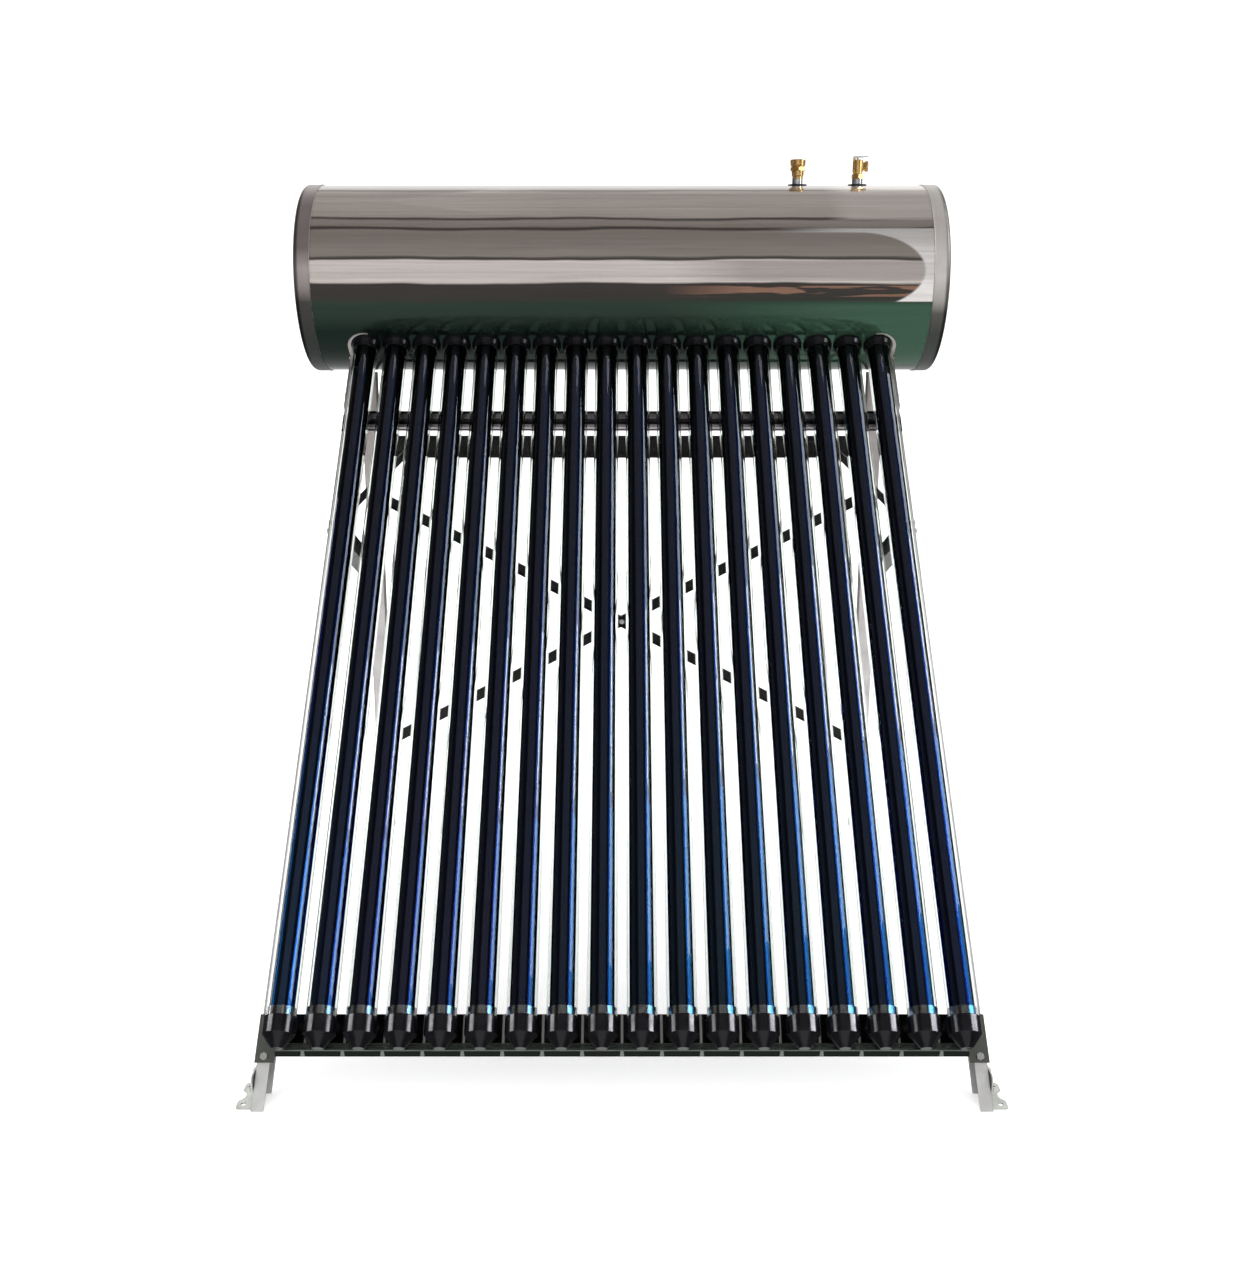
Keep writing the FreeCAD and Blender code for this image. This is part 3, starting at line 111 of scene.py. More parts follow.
# Stretch of the grain along sheets that run across the heater, and along upright ones
ACROSS = (1.0, 90.0, 90.0)
UPRIGHT = (90.0, 90.0, 1.0)

# Sideways lean at which a face starts to count as looking towards the middle, and fully does
MIDDLE_FACING = (-0.55, -0.85)


# Shader building

class Tree:
    """Short calls that add nodes to the tree of a material or a world."""

    def __init__(self, owner):
        owner.use_nodes = True
        self.nodes = owner.node_tree.nodes
        self.links = owner.node_tree.links

    def node(self, kind, inputs=None, **settings):
        """A new node with its settings, then its inputs linked or set."""
        made = self.nodes.new(kind)
        for key, value in settings.items():
            setattr(made, key, value)
        for key, value in (inputs or {}).items():
            self.put(made.inputs[key], value)
        return made

    def put(self, socket, value):
        """Links an output to the socket, or sets the socket's own value."""
        if isinstance(value, bpy.types.NodeSocket):
            self.links.new(value, socket)
        elif isinstance(value, tuple) and socket.type == "RGBA":
            socket.default_value = (*value, 1.0)
        else:
            socket.default_value = value

    def math(self, operation, a, b=0.0):
        """Result of one operation on one or two values."""
        return self.node("ShaderNodeMath", {0: a, 1: b}, operation=operation).outputs[0]

    def times(self, a, b):
        """Product of two values."""
        return self.math("MULTIPLY", a, b)

    def xyz(self, vector):
        """The three parts of a vector."""
        split = self.node("ShaderNodeSeparateXYZ", {"Vector": vector})
        return split.outputs["X"], split.outputs["Y"], split.outputs["Z"]

    def span(self, value, low, high, to_low=0.0, to_high=1.0, curve="LINEAR"):
        """Value taken from the range low to high into to_low to to_high, and held at its ends."""
        inputs = {"Value": value, "From Min": low, "From Max": high, "To Min": to_low, "To Max": to_high}
        return self.node("ShaderNodeMapRange", inputs, interpolation_type=curve).outputs["Result"]

    def inside(self, value, low, high, edge):
        """1 between low and high, falling to 0 over the edge's width."""
        above = self.span(value, low - edge, low)
        below = self.span(value, high, high + edge, 1.0, 0.0)
        return self.times(above, below)


class Shader(Tree):
    """A Principled material and short calls for the nodes that feed it."""

    def __init__(self, name, color, metallic=0.0, roughness=0.4, **sockets):
        self.material = bpy.data.materials.new(name)
        super().__init__(self.material)
        self.surface = self.nodes["Principled BSDF"]
        self.set("Base Color", color)
        self.set("Metallic", metallic)
        self.set("Roughness", roughness)
        for key, value in sockets.items():
            self.set(key.replace("_", " "), value)

    def set(self, socket, value):
        """Links or sets one of the surface's sockets."""
        self.put(self.surface.inputs[socket], value)

    def place(self):
        """Object coordinates, which are the frame's metres."""
        return self.node("ShaderNodeTexCoord").outputs["Object"]

    def scaled(self, scale):
        """Object coordinates stretched by three factors."""
        return self.node("ShaderNodeMapping", {"Vector": self.place(), "Scale": scale}).outputs["Vector"]

    def sideways(self):
        """How far the surface faces along X, from -1 to 1."""
        return self.xyz(self.node("ShaderNodeTexCoord").outputs["Normal"])[0]

    def noise(self, stretch, scale, detail=3.0, roughness=0.55, distortion=0.0):
        """Noise over object coordinates stretched by three factors."""
        inputs = {"Vector": self.scaled(stretch), "Scale": scale, "Detail": detail,
                  "Roughness": roughness, "Distortion": distortion}
        return self.node("ShaderNodeTexNoise", inputs).outputs["Fac"]

    def ramp(self, factor, stops):
        """Colour ramp from (position, colour) pairs."""
        made = self.node("ShaderNodeValToRGB", {"Fac": factor})
        elements = made.color_ramp.elements
        while len(elements) < len(stops):
            elements.new(0.5)
        for element, (position, color) in zip(elements, sorted(stops)):
            element.position = position
            element.color = (*color, 1.0)
        return made.outputs["Color"]

    def mix(self, factor, a, b, blend="MIX"):
        """Colour a turned towards colour b by a factor."""
        made = self.node("ShaderNodeMix", {0: factor, 6: a, 7: b}, data_type="RGBA", blend_type=blend)
        return made.outputs[2]

    def bump(self, height, strength, distance):
        """Surface relief from a height."""
        made = self.node("ShaderNodeBump", {"Height": height, "Strength": strength, "Distance": distance})
        self.set("Normal", made.outputs["Normal"])

    def facing_middle(self):
        """1 on faces that look towards the middle of the heater, 0 on the others."""
        side = self.math("SIGN", self.xyz(self.place())[0])
        return self.span(self.times(side, self.sideways()), *MIDDLE_FACING)


def tank_angle(shader):
    """Place along the tank, angle in turns (0 at mid height, 0.25 on top), and height over the radius."""
    x, y, z = shader.xyz(shader.place())
    across = shader.math("ABSOLUTE", shader.math("SUBTRACT", y, TANK_CENTRE.y))
    up = shader.math("SUBTRACT", z, TANK_CENTRE.z)
    angle = shader.math("DIVIDE", shader.math("ARCTAN2", up, across), math.tau)
    return x, angle, shader.math("DIVIDE", up, TANK_RADIUS)


def angle_factor(shader, angle):
    """Ramp position of an angle in turns: 0 at the tank's bottom, 1 at its top."""
    return shader.math("ADD", shader.times(angle, 2.0), 0.5)


# Painted reflections in the tank's polish: colours by height angle in degrees
TANK_REFLECTION_BANDS = [
    (-90, (0.020, 0.028, 0.024)), (-60, (0.012, 0.022, 0.017)), (-34, (0.010, 0.022, 0.017)),
    (-24, (0.028, 0.048, 0.036)), (-15.5, (0.034, 0.058, 0.045)), (-13.5, (0.050, 0.050, 0.044)),
    (-4.6, (0.062, 0.052, 0.048)), (-3.4, (0.050, 0.044, 0.040)), (-2.4, (0.74, 0.67, 0.63)),
    (4, (0.84, 0.77, 0.73)), (9.8, (0.86, 0.79, 0.75)), (10.6, (0.06, 0.055, 0.05)),
    (11.6, (0.09, 0.08, 0.07)), (12.6, (0.34, 0.30, 0.27)), (18, (0.36, 0.32, 0.29)),
    (29.0, (0.44, 0.38, 0.34)), (29.8, (0.09, 0.08, 0.075)), (30.8, (0.10, 0.09, 0.08)),
    (31.8, (0.44, 0.38, 0.34)), (36.2, (0.50, 0.44, 0.40)), (37.0, (0.09, 0.08, 0.075)),
    (37.8, (0.11, 0.10, 0.09)), (38.6, (0.66, 0.58, 0.52)),
    (45, (0.74, 0.66, 0.60)), (54, (0.78, 0.70, 0.64)), (64, (0.70, 0.63, 0.58)),
    (67, (0.24, 0.21, 0.20)), (69, (0.62, 0.57, 0.53)), (90, (0.56, 0.52, 0.50)),
]

# Parts of the tank's reflection, each from one height over the radius to another, with its edge's width
GREEN_PART = (-0.90, -0.29, 0.06)
MIDDLE_PART = (-0.03, 0.17, 0.01)
BROWN_REFLECTION_PART = (-0.19, -0.09, 0.01)
UPPER_PART = (0.60, 1.1, 0.01)
ARCH_PART = (-0.24, 0.50, 0.012)

# Where each part fades in along the tank, in metres from its middle: not yet there, then fully there
GREEN_RUN = (0.05, 0.62)
MIDDLE_RUN = (0.12, 0.30)
BROWN_REFLECTION_RUN = (0.1, 0.3)
UPPER_RUN = (0.50, 0.56)
ARCH_RUN = (0.33, 0.60)
LEAF_RUN = (-0.15, -0.40)

# Leaf of painted reflection: its middle height over the radius, its half widths at two places along the tank,
# and its soft edge
LEAF_HEIGHT = 0.80
LEAF_ENDS = (-0.58, -0.30)
LEAF_WIDTHS = (0.02, 0.16)
LEAF_EDGE = (-0.005, 0.02)

# Rounded dark middle of the bright opening reflected near the right end: its place along the tank and half
# width in metres, its height and half height over the radius, and where its edge starts and ends
ARCH_MIDDLE = 0.574
ARCH_WIDTH = 0.160
ARCH_HEIGHT = 0.07
ARCH_RISE = 0.39
ARCH_EDGE = (0.97, 1.06)

# How far the bands wander up and down, in turns, and how strongly each part covers the bands
BAND_WANDER = 0.0022
MIDDLE_COVER = 0.75
UPPER_COVER = 0.65
LEAF_COVER = 0.35


def painted_arch_reflection(s, along, height):
    """1 outside the rounded dark middle and inside the painted reflection of a bright opening near the tank's
    right end.
    """
    dx = s.math("DIVIDE", s.math("MAXIMUM", s.math("SUBTRACT", along, ARCH_MIDDLE), 0.0), ARCH_WIDTH)
    dz = s.math("DIVIDE", s.math("SUBTRACT", height, ARCH_HEIGHT), ARCH_RISE)
    reach = s.math("ADD", s.times(dx, dx), s.times(dz, dz))
    beyond = s.times(s.span(reach, *ARCH_EDGE), s.inside(height, *ARCH_PART))
    return s.times(beyond, s.span(along, *ARCH_RUN, curve="SMOOTHSTEP"))


def left_leaf(s, along, height):
    """1 inside a pale leaf of painted reflection that narrows towards the tank's left end, high on the
    polish.
    """
    off = s.math("ABSOLUTE", s.math("SUBTRACT", height, LEAF_HEIGHT))
    width = s.span(along, *LEAF_ENDS, *LEAF_WIDTHS)
    leaf = s.span(s.math("SUBTRACT", width, off), *LEAF_EDGE)
    return s.times(leaf, s.span(along, *LEAF_RUN))


def mirror_steel():
    """Polished shell: painted reflections in bands and patches, with a painted reflection of a bright opening
    at the right; faint rolling streaks and slight waviness.
    """
    s = Shader("mirror_steel", (0.5, 0.47, 0.45), metallic=0.85, roughness=0.09)
    along, angle, height = tank_angle(s)
    waver = s.noise((2.2, 9.0, 9.0), 1.6, detail=2.0)
    bent = s.math("ADD", angle, s.span(waver, 0.3, 0.7, -BAND_WANDER, BAND_WANDER))
    tone = s.ramp(angle_factor(s, bent), [(degrees / 180 + 0.5, color) for degrees, color in TANK_REFLECTION_BANDS])
    to_right = s.span(along, *GREEN_RUN, curve="SMOOTHSTEP")
    green = s.times(to_right, s.inside(height, *GREEN_PART))
    tone = s.mix(green, tone, (0.060, 0.130, 0.085))
    middle = s.times(s.inside(height, *MIDDLE_PART), s.span(along, *MIDDLE_RUN))
    tone = s.mix(s.times(middle, MIDDLE_COVER), tone, (0.50, 0.45, 0.42))
    # Brown painted reflection low on the tank, broken into flecks
    flecks = s.span(s.noise((3.0, 8.0, 40.0), 1.0), 0.52, 0.54)
    brown_reflection = s.times(s.inside(height, *BROWN_REFLECTION_PART), flecks)
    tone = s.mix(s.times(brown_reflection, s.span(along, *BROWN_REFLECTION_RUN)), tone, (0.30, 0.17, 0.12))
    upper_right = s.times(s.span(along, *UPPER_RUN), s.inside(height, *UPPER_PART))
    tone = s.mix(s.times(upper_right, UPPER_COVER), tone, (0.95, 0.88, 0.82))
    tone = s.mix(s.times(left_leaf(s, along, height), LEAF_COVER), tone, (1.0, 0.92, 0.84))
    tone = s.mix(painted_arch_reflection(s, along, height), tone, (0.96, 0.92, 0.90))
    streak = s.noise((0.8, 60.0, 60.0), 3.0, detail=5.0, roughness=0.6)
    tone = s.mix(s.span(streak, 0.40, 0.75, 0.0, 0.28), tone, (0.36, 0.33, 0.32), "MULTIPLY")
    s.set("Base Color", tone)
    smudge = s.noise((5.0, 5.0, 5.0), 2.2, detail=4.0)
    s.set("Roughness", s.span(smudge, 0.35, 0.75, 0.06, 0.15))
    s.bump(waver, 0.10, 0.01)
    return s.material


# Painted reflections on the covers' skirts: colours from the bottom, 0, to the top, 1
LEFT_COVER_REFLECTION = [
    (0.0, (0.030, 0.036, 0.032)), (0.25, (0.026, 0.032, 0.028)), (0.42, (0.060, 0.056, 0.052)),
    (0.47, (0.30, 0.26, 0.26)), (0.53, (0.44, 0.39, 0.39)), (0.60, (0.20, 0.17, 0.165)),
    (0.76, (0.22, 0.19, 0.185)), (0.88, (0.44, 0.40, 0.38)), (1.0, (0.44, 0.41, 0.40)),
]
RIGHT_COVER_REFLECTION = [
    (0.0, (0.060, 0.070, 0.062)), (0.30, (0.050, 0.056, 0.050)), (0.38, (0.10, 0.10, 0.09)),
    (0.43, (0.42, 0.40, 0.38)), (0.50, (0.66, 0.63, 0.61)), (0.62, (0.58, 0.54, 0.52)),
    (0.8, (0.56, 0.53, 0.50)), (1.0, (0.52, 0.49, 0.47)),
]
# Where the left tones give way to the right ones, in metres from the tank's middle
LEFT_TO_RIGHT = (-0.1, 0.1)
# How far inside a cover's outer end its rounded rim starts to darken with painted shade, and is darkest, in
# metres, and how much
RIM_START = 0.014
RIM_FULL = 0.008
RIM_SHADE_SHARE = 0.85
# Sideways lean at which a cover's face starts to count as its flat end, and fully does
FLAT_END = (0.75, 0.98)


def cover_steel():
    """Satin cover: painted reflection bands, greener low down and lighter at the right, with painted shade on
    its rounded rim and a plain flat end.
    """
    s = Shader("cover_steel", (0.4, 0.37, 0.36), metallic=0.6, roughness=0.34)
    along, angle, _ = tank_angle(s)
    factor = angle_factor(s, angle)
    tone = s.mix(s.span(along, *LEFT_TO_RIGHT), s.ramp(factor, LEFT_COVER_REFLECTION), s.ramp(factor, RIGHT_COVER_REFLECTION))
    grain = s.noise((420.0, 6.0, 6.0), 1.0, detail=4.0, roughness=0.7)
    cloud = s.noise((7.0, 7.0, 7.0), 1.5, detail=4.0)
    # Painted shade on the cover's rounded rim
    rim_shade = s.span(s.math("ABSOLUTE", along), COVER_HIGH.x - RIM_START, COVER_HIGH.x - RIM_FULL)
    tone = s.mix(s.times(rim_shade, RIM_SHADE_SHARE), tone, (0.20, 0.19, 0.18), "MULTIPLY")
    flat_end = s.span(s.math("ABSOLUTE", s.sideways()), *FLAT_END)
    tone = s.mix(flat_end, tone, (0.58, 0.56, 0.54))
    tone = s.mix(s.span(cloud, 0.3, 0.7, 0.0, 0.35), tone, (0.55, 0.52, 0.50), "MULTIPLY")
    s.set("Base Color", tone)
    s.set("Roughness", s.span(grain, 0.3, 0.7, 0.26, 0.42))
    s.bump(grain, 0.05, 0.001)
    return s.material


def worn_sheet(s, tone, stretch, roughness):
    """Grain along the roll, smudges and a slight surface wave over a sheet's tone."""
    grain = s.noise(stretch, 8.0, detail=6.0, roughness=0.65)
    cloud = s.noise((9.0, 9.0, 9.0), 1.3, detail=5.0, distortion=0.6)
    tone = s.mix(s.span(cloud, 0.40, 0.75, 0.0, 0.8), tone, (0.62, 0.60, 0.60), "MULTIPLY")
    tone = s.mix(s.span(grain, 0.45, 0.8, 0.0, 0.5), tone, (0.70, 0.69, 0.69), "MULTIPLY")
    s.set("Base Color", tone)
    s.set("Roughness", s.span(cloud, 0.3, 0.75, roughness * 0.75, roughness * 1.5))
    s.bump(cloud, 0.12, 0.004)
    return s.material


# How much of its tone a sheet keeps on its shaded faces
SHADE_SHARE = 0.15


def plain_sheet(name, color, roughness, stretch, metallic=0.8):
    """Sheet of one tone, with painted shade on the faces that look towards the middle of the heater."""
    s = Shader(name, color, metallic=metallic, roughness=roughness)
    shade = tuple(part * SHADE_SHARE for part in color)
    return worn_sheet(s, s.mix(s.facing_middle(), color, shade), stretch, roughness)


# Painted light on the stand's rails and legs: colours from the ground, 0, to the tubes' top, 1
STAND_LIGHT_TONES = [
    (0.0, (0.86, 0.86, 0.85)), (0.12, (0.88, 0.86, 0.86)), (0.5, (0.74, 0.70, 0.69)),
    (0.8, (0.50, 0.46, 0.45)), (1.0, (0.40, 0.38, 0.36)),
]
STAND_ROUGHNESS = 0.16


def stand_sheet():
    """Stand's bright sheet: painted light, greyer near the tank and lighter near the ground, and painted
    shade inside its channels.
    """
    s = Shader("stand_sheet_upright", (0.6, 0.6, 0.6), metallic=0.55, roughness=STAND_ROUGHNESS)
    height = s.span(s.xyz(s.place())[2], 0.0, TUBE_HIGH.z)
    # Painted light by height, and painted shade on the faces inside the channels
    tone = s.mix(s.facing_middle(), s.ramp(height, STAND_LIGHT_TONES), (0.020, 0.024, 0.021))
    return worn_sheet(s, tone, UPRIGHT, STAND_ROUGHNESS)


# Colours of the cross rail behind the tubes, from its lower edge, 0, to its upper edge, 1: grey faces and
# near-black folds of painted shade
MID_RAIL_TONES_AND_SHADE = [
    (0.0, (0.012, 0.012, 0.013)), (0.10, (0.02, 0.02, 0.02)), (0.14, (0.50, 0.46, 0.50)),
    (0.34, (0.58, 0.54, 0.58)), (0.38, (0.012, 0.012, 0.012)), (0.50, (0.015, 0.015, 0.015)),
    (0.55, (0.34, 0.32, 0.34)), (0.85, (0.26, 0.25, 0.27)), (0.92, (0.014, 0.014, 0.014)),
    (1.0, (0.012, 0.012, 0.012)),
]
MID_RAIL_ROUGHNESS = 0.2


def mid_rail_steel():
    """Grooved cross rail: grey faces between folds of painted shade."""
    s = Shader("mid_rail_steel", (0.2, 0.2, 0.2), metallic=0.8, roughness=MID_RAIL_ROUGHNESS)
    height = s.span(s.xyz(s.place())[2], MID_LOW.z, MID_HIGH.z)
    return worn_sheet(s, s.ramp(height, MID_RAIL_TONES_AND_SHADE), ACROSS, MID_RAIL_ROUGHNESS)


# Painted reflections of light strips on the tail rail, in metres: half widths at the lip's edge and at the
# shelf, softness of the lip's strip, and where the web's strip starts and is full
REFLECTION_STRIP_WIDTHS = (0.0042, 0.0024)
REFLECTION_STRIP_EDGE = 0.0006
WEB_REFLECTION_STRIP = (0.0030, 0.0016)
# Heights above and below the shelf between which the tail rail turns to its web, and to its lip, in metres
WEB_FOLD = (0.0008, 0.0015)
LIP_FOLD = (0.0030, 0.0022)
TAB_EDGE = 0.002


def tail_rail_steel():
    """Tail rail's polish with painted reflections: dark where it faces the cups, light strips midway between
    them, and painted shade on the tabs' faces towards the middle.
    """
    s = Shader("tail_rail_steel", (0.5, 0.5, 0.5), metallic=0.7, roughness=0.13)
    x, _, z = s.xyz(s.place())
    turn = s.math("FRACT", s.math("DIVIDE", x, TUBE_PITCH))
    from_cup = s.math("ABSOLUTE", s.math("SUBTRACT", turn, 0.5))
    from_gap = s.times(s.math("SUBTRACT", 0.5, from_cup), TUBE_PITCH)
    spread = s.span(z, LIP_LOW, SHELF_Z, *REFLECTION_STRIP_WIDTHS)
    lip_reflection = s.span(s.math("SUBTRACT", spread, from_gap), -REFLECTION_STRIP_EDGE, REFLECTION_STRIP_EDGE)
    web_reflection = s.span(from_gap, *WEB_REFLECTION_STRIP)
    cloud = s.noise((30.0, 200.0, 200.0), 1.0, detail=4.0)
    # Painted reflections: dark lip and web with light strips midway between the cups
    lip = s.mix(lip_reflection, (0.008, 0.011, 0.009), (0.22, 0.25, 0.22))
    shelf = s.mix(s.span(cloud, 0.3, 0.7), (0.085, 0.105, 0.088), (0.17, 0.20, 0.17))
    web = s.mix(web_reflection, (0.004, 0.005, 0.004), (0.46, 0.46, 0.44))
    on_web = s.span(z, SHELF_Z + WEB_FOLD[0], SHELF_Z + WEB_FOLD[1])
    on_shelf = s.span(z, SHELF_Z - LIP_FOLD[0], SHELF_Z - LIP_FOLD[1])
    tone = s.mix(on_web, s.mix(on_shelf, lip, shelf), web)
    at_tabs = s.span(s.math("ABSOLUTE", x), SHELF_END, SHELF_END + TAB_EDGE)
    # Painted shade on the tabs' faces that look towards the middle
    tab = s.mix(s.facing_middle(), (0.16, 0.17, 0.15), (0.02, 0.024, 0.02))
    s.set("Base Color", s.mix(at_tabs, tone, tab))
    s.set("Roughness", s.span(cloud, 0.3, 0.7, 0.09, 0.2))
    return s.material


# Glass colour from where it is seen face on, 0, to where it is seen edge on, 1: faint green, then near black
# at the very edge as a painted dark reflection
GLASS_TINT_AND_DARK_RIM = [
    (0.0, (0.96, 0.98, 0.97)), (0.55, (0.95, 0.98, 0.96)), (0.74, (0.80, 0.86, 0.81)),
    (0.90, (0.55, 0.62, 0.56)), (0.97, (0.16, 0.19, 0.17)), (1.0, (0.08, 0.09, 0.08)),
]


def clear_glass():
    """Drawn borosilicate: clear, faintly green where the wall is seen edge on and near black at its very edge
    as a painted dark reflection, with long draw lines.
    """
    s = Shader("clear_glass", (0.95, 0.98, 0.96), roughness=0.01, IOR=1.38, Transmission_Weight=1.0)
    s.set("Specular IOR Level", 0.12)
    lines = s.noise((260.0, 3.0, 3.0), 1.0, detail=3.0)
    s.bump(lines, 0.03, 0.0006)
    edge = s.node("ShaderNodeLayerWeight", {"Blend": 0.5}).outputs["Facing"]
    s.set("Base Color", s.ramp(edge, GLASS_TINT_AND_DARK_RIM))
    return s.material


# Coating colours: at the tubes' feet from the left tube, 0, to the right one, 1, then from foot to top
FOOT_TONES = [
    (0.0, (0.013, 0.075, 0.190)), (0.06, (0.014, 0.060, 0.170)), (0.12, (0.020, 0.026, 0.095)),
    (0.32, (0.018, 0.024, 0.088)), (0.45, (0.007, 0.030, 0.085)), (0.60, (0.005, 0.044, 0.090)),
    (0.78, (0.005, 0.036, 0.090)), (1.0, (0.010, 0.026, 0.110)),
]
TUBE_TONES = [
    (0.0, (0.006, 0.024, 0.085)), (0.45, (0.005, 0.017, 0.070)),
    (0.75, (0.004, 0.012, 0.046)), (1.0, (0.003, 0.007, 0.024)),
]


# Share of the tubes' height where the foot's colours start, and are full
FOOT_START = 0.52
FOOT_FULL = 0.04


def absorber_coating():
    """Dark selective coating: near black above, blue to violet and teal towards the foot of the tubes."""
    s = Shader("absorber_coating", (0.004, 0.010, 0.045), metallic=1.0, roughness=0.15)
    s.set("Specular Tint", (0.06, 0.08, 0.12))
    x, _, z = s.xyz(s.place())
    across = s.span(x, -TUBES_HALF, TUBES_HALF)
    height = s.span(z, TUBE_LOW.z, TUBE_HIGH.z)
    low = s.span(height, FOOT_START, FOOT_FULL, curve="SMOOTHSTEP")
    tone = s.mix(low, s.ramp(height, TUBE_TONES), s.ramp(across, FOOT_TONES))
    soft = s.noise((9.0, 0.6, 0.6), 1.5, detail=2.0)
    s.set("Base Color", s.mix(s.span(soft, 0.35, 0.7, 0.0, 0.35), tone, (0.60, 0.60, 0.85), "MULTIPLY"))
    s.set("Roughness", s.span(soft, 0.3, 0.7, 0.13, 0.18))
    return s.material


def getter_mirror():
    """Silver band with slightly brown clouds."""
    s = Shader("getter_mirror", (0.86, 0.86, 0.88), metallic=1.0, roughness=0.10)
    cloud = s.noise((60.0, 60.0, 60.0), 2.0, detail=4.0)
    s.set("Base Color", s.mix(s.span(cloud, 0.4, 0.7), (0.90, 0.90, 0.91), (0.60, 0.56, 0.53)))
    s.set("Roughness", s.span(cloud, 0.3, 0.7, 0.05, 0.20))
    return s.material


def glossy_black(name, color, roughness, level=0.5):
    """Moulded black with a faint orange-peel skin and handling dust."""
    s = Shader(name, color, roughness=roughness, Specular_IOR_Level=level)
    skin = s.noise((300.0, 300.0, 300.0), 1.0, detail=2.0)
    dust = s.noise((25.0, 25.0, 25.0), 2.0, detail=5.0)
    dusty = tuple(part * 2.4 + 0.002 for part in color)
    s.set("Base Color", s.mix(s.span(dust, 0.45, 0.8, 0.0, 0.5), color, dusty))
    s.set("Roughness", s.span(dust, 0.35, 0.75, roughness * 0.8, roughness * 1.4))
    s.bump(skin, 0.06, 0.0006)
    return s.material


def machined(name, color, roughness, warm):
    """Turned metal: fine rings across the axis and a second tone in patches."""
    s = Shader(name, color, metallic=0.9, roughness=roughness)
    rings = s.noise((20.0, 20.0, 1500.0), 1.0, detail=2.0)
    patch = s.noise((60.0, 60.0, 60.0), 1.2, detail=4.0)
    s.set("Base Color", s.mix(s.span(patch, 0.35, 0.7), color, warm))
    s.set("Roughness", s.span(rings, 0.3, 0.7, roughness * 0.8, roughness * 1.3))
    s.bump(rings, 0.10, 0.0005)
    return s.material


def foam():
    """Cut polyurethane foam with small cells."""
    s = Shader("foam", (0.80, 0.70, 0.45), roughness=0.9)
    cells = s.node("ShaderNodeTexVoronoi", {"Vector": s.place(), "Scale": 600.0}).outputs["Distance"]
    s.set("Base Color", s.mix(cells, (0.84, 0.76, 0.52), (0.62, 0.52, 0.30)))
    s.bump(cells, 0.5, 0.001)
    return s.material


def floor_paint():
    """Matt pale paint with a faint unevenness."""
    s = Shader("pale_floor", (0.90, 0.90, 0.90), roughness=0.55, Emission_Strength=FLOOR_GLOW)
    s.set("Emission Color", (1.0, 1.0, 1.0))
    cloud = s.noise((1.0, 1.0, 1.0), 1.5, detail=4.0)
    s.set("Base Color", s.mix(s.span(cloud, 0.3, 0.7), (0.89, 0.89, 0.89), (0.92, 0.92, 0.92)))
    return s.material


# Giving the CAD nodes their materials

def paint():
    """One material for each group of CAD nodes, named by how the nodes' names begin."""
    stand = stand_sheet()
    shaded = plain_sheet("shaded_steel", (0.035, 0.035, 0.033), 0.20, ACROSS)
    foot = plain_sheet("foot_steel", (0.62, 0.65, 0.60), 0.28, ACROSS, 0.5)
    fastener = plain_sheet("fastener_steel", (0.74, 0.74, 0.73), 0.16, UPRIGHT)
    wire = machined("spring_wire", (0.66, 0.66, 0.68), 0.2, (0.50, 0.50, 0.52))
    brass = machined("brass", (0.92, 0.66, 0.28), 0.24, (0.74, 0.38, 0.12))
    groups = {
        "tank_shell": mirror_steel(),
        "end_cover": cover_steel(),
        "glass_tube": clear_glass(),
        "absorber_tubes": absorber_coating(),
        "getter_bands": getter_mirror(),
        "tail_cups": glossy_black("cup_plastic", (0.003, 0.003, 0.0045), 0.20, 0.4),
        "dust_rings": glossy_black("ring_rubber", (0.003, 0.003, 0.004), 0.20),
        "port_gaskets": glossy_black("gasket_rubber", (0.008, 0.008, 0.008), 0.5),
        "tail_rail": tail_rail_steel(),
        "mid_rail": mid_rail_steel(),
        "rear_crossbar": shaded,
        "rear_brace": shaded,
        "corner_brace": shaded,
        "side_brace": shaded,
        "saddle": stand,
        "side_rail": stand,
        "rear_leg": stand,
        "foot_": foot,
        "frame_bolts": fastener,
        "cup_screws": fastener,
        "inner_tank": plain_sheet("vessel_steel", (0.80, 0.80, 0.82), 0.14, UPRIGHT),
        "insulation_foam": foam(),
        "anode_rod": machined("magnesium", (0.5, 0.5, 0.5), 0.45, (0.4, 0.4, 0.4)),
        "heat_pipes": machined("copper", (0.80, 0.38, 0.22), 0.25, (0.60, 0.25, 0.14)),
        "heat_fins": plain_sheet("fin_aluminium", (0.80, 0.81, 0.82), 0.25, ACROSS),
        "check_valve_body": brass,
        "check_poppet": brass,
        "check_spring": wire,
        "relief_body": brass,
        "relief_stem": brass,
        "relief_spring": wire,
        "lever_pin": wire,
        "relief_lever": machined("lever_steel", (0.86, 0.85, 0.83), 0.16, (0.76, 0.72, 0.66)),
    }
    for name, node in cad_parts.items():
        prefix = next(start for start in groups if name.startswith(start))
        node.data.materials.clear()
        node.data.materials.append(groups[prefix])
    return groups


# Extra pieces

def mesh_object(name, bm, material):
    """Built geometry as an object of one material, put in the scene."""
    mesh = bpy.data.meshes.new(name)
    bm.to_mesh(mesh)
    bm.free()
    mesh.materials.append(material)
    made = bpy.data.objects.new(name, mesh)
    bpy.context.scene.collection.objects.link(made)
    return made


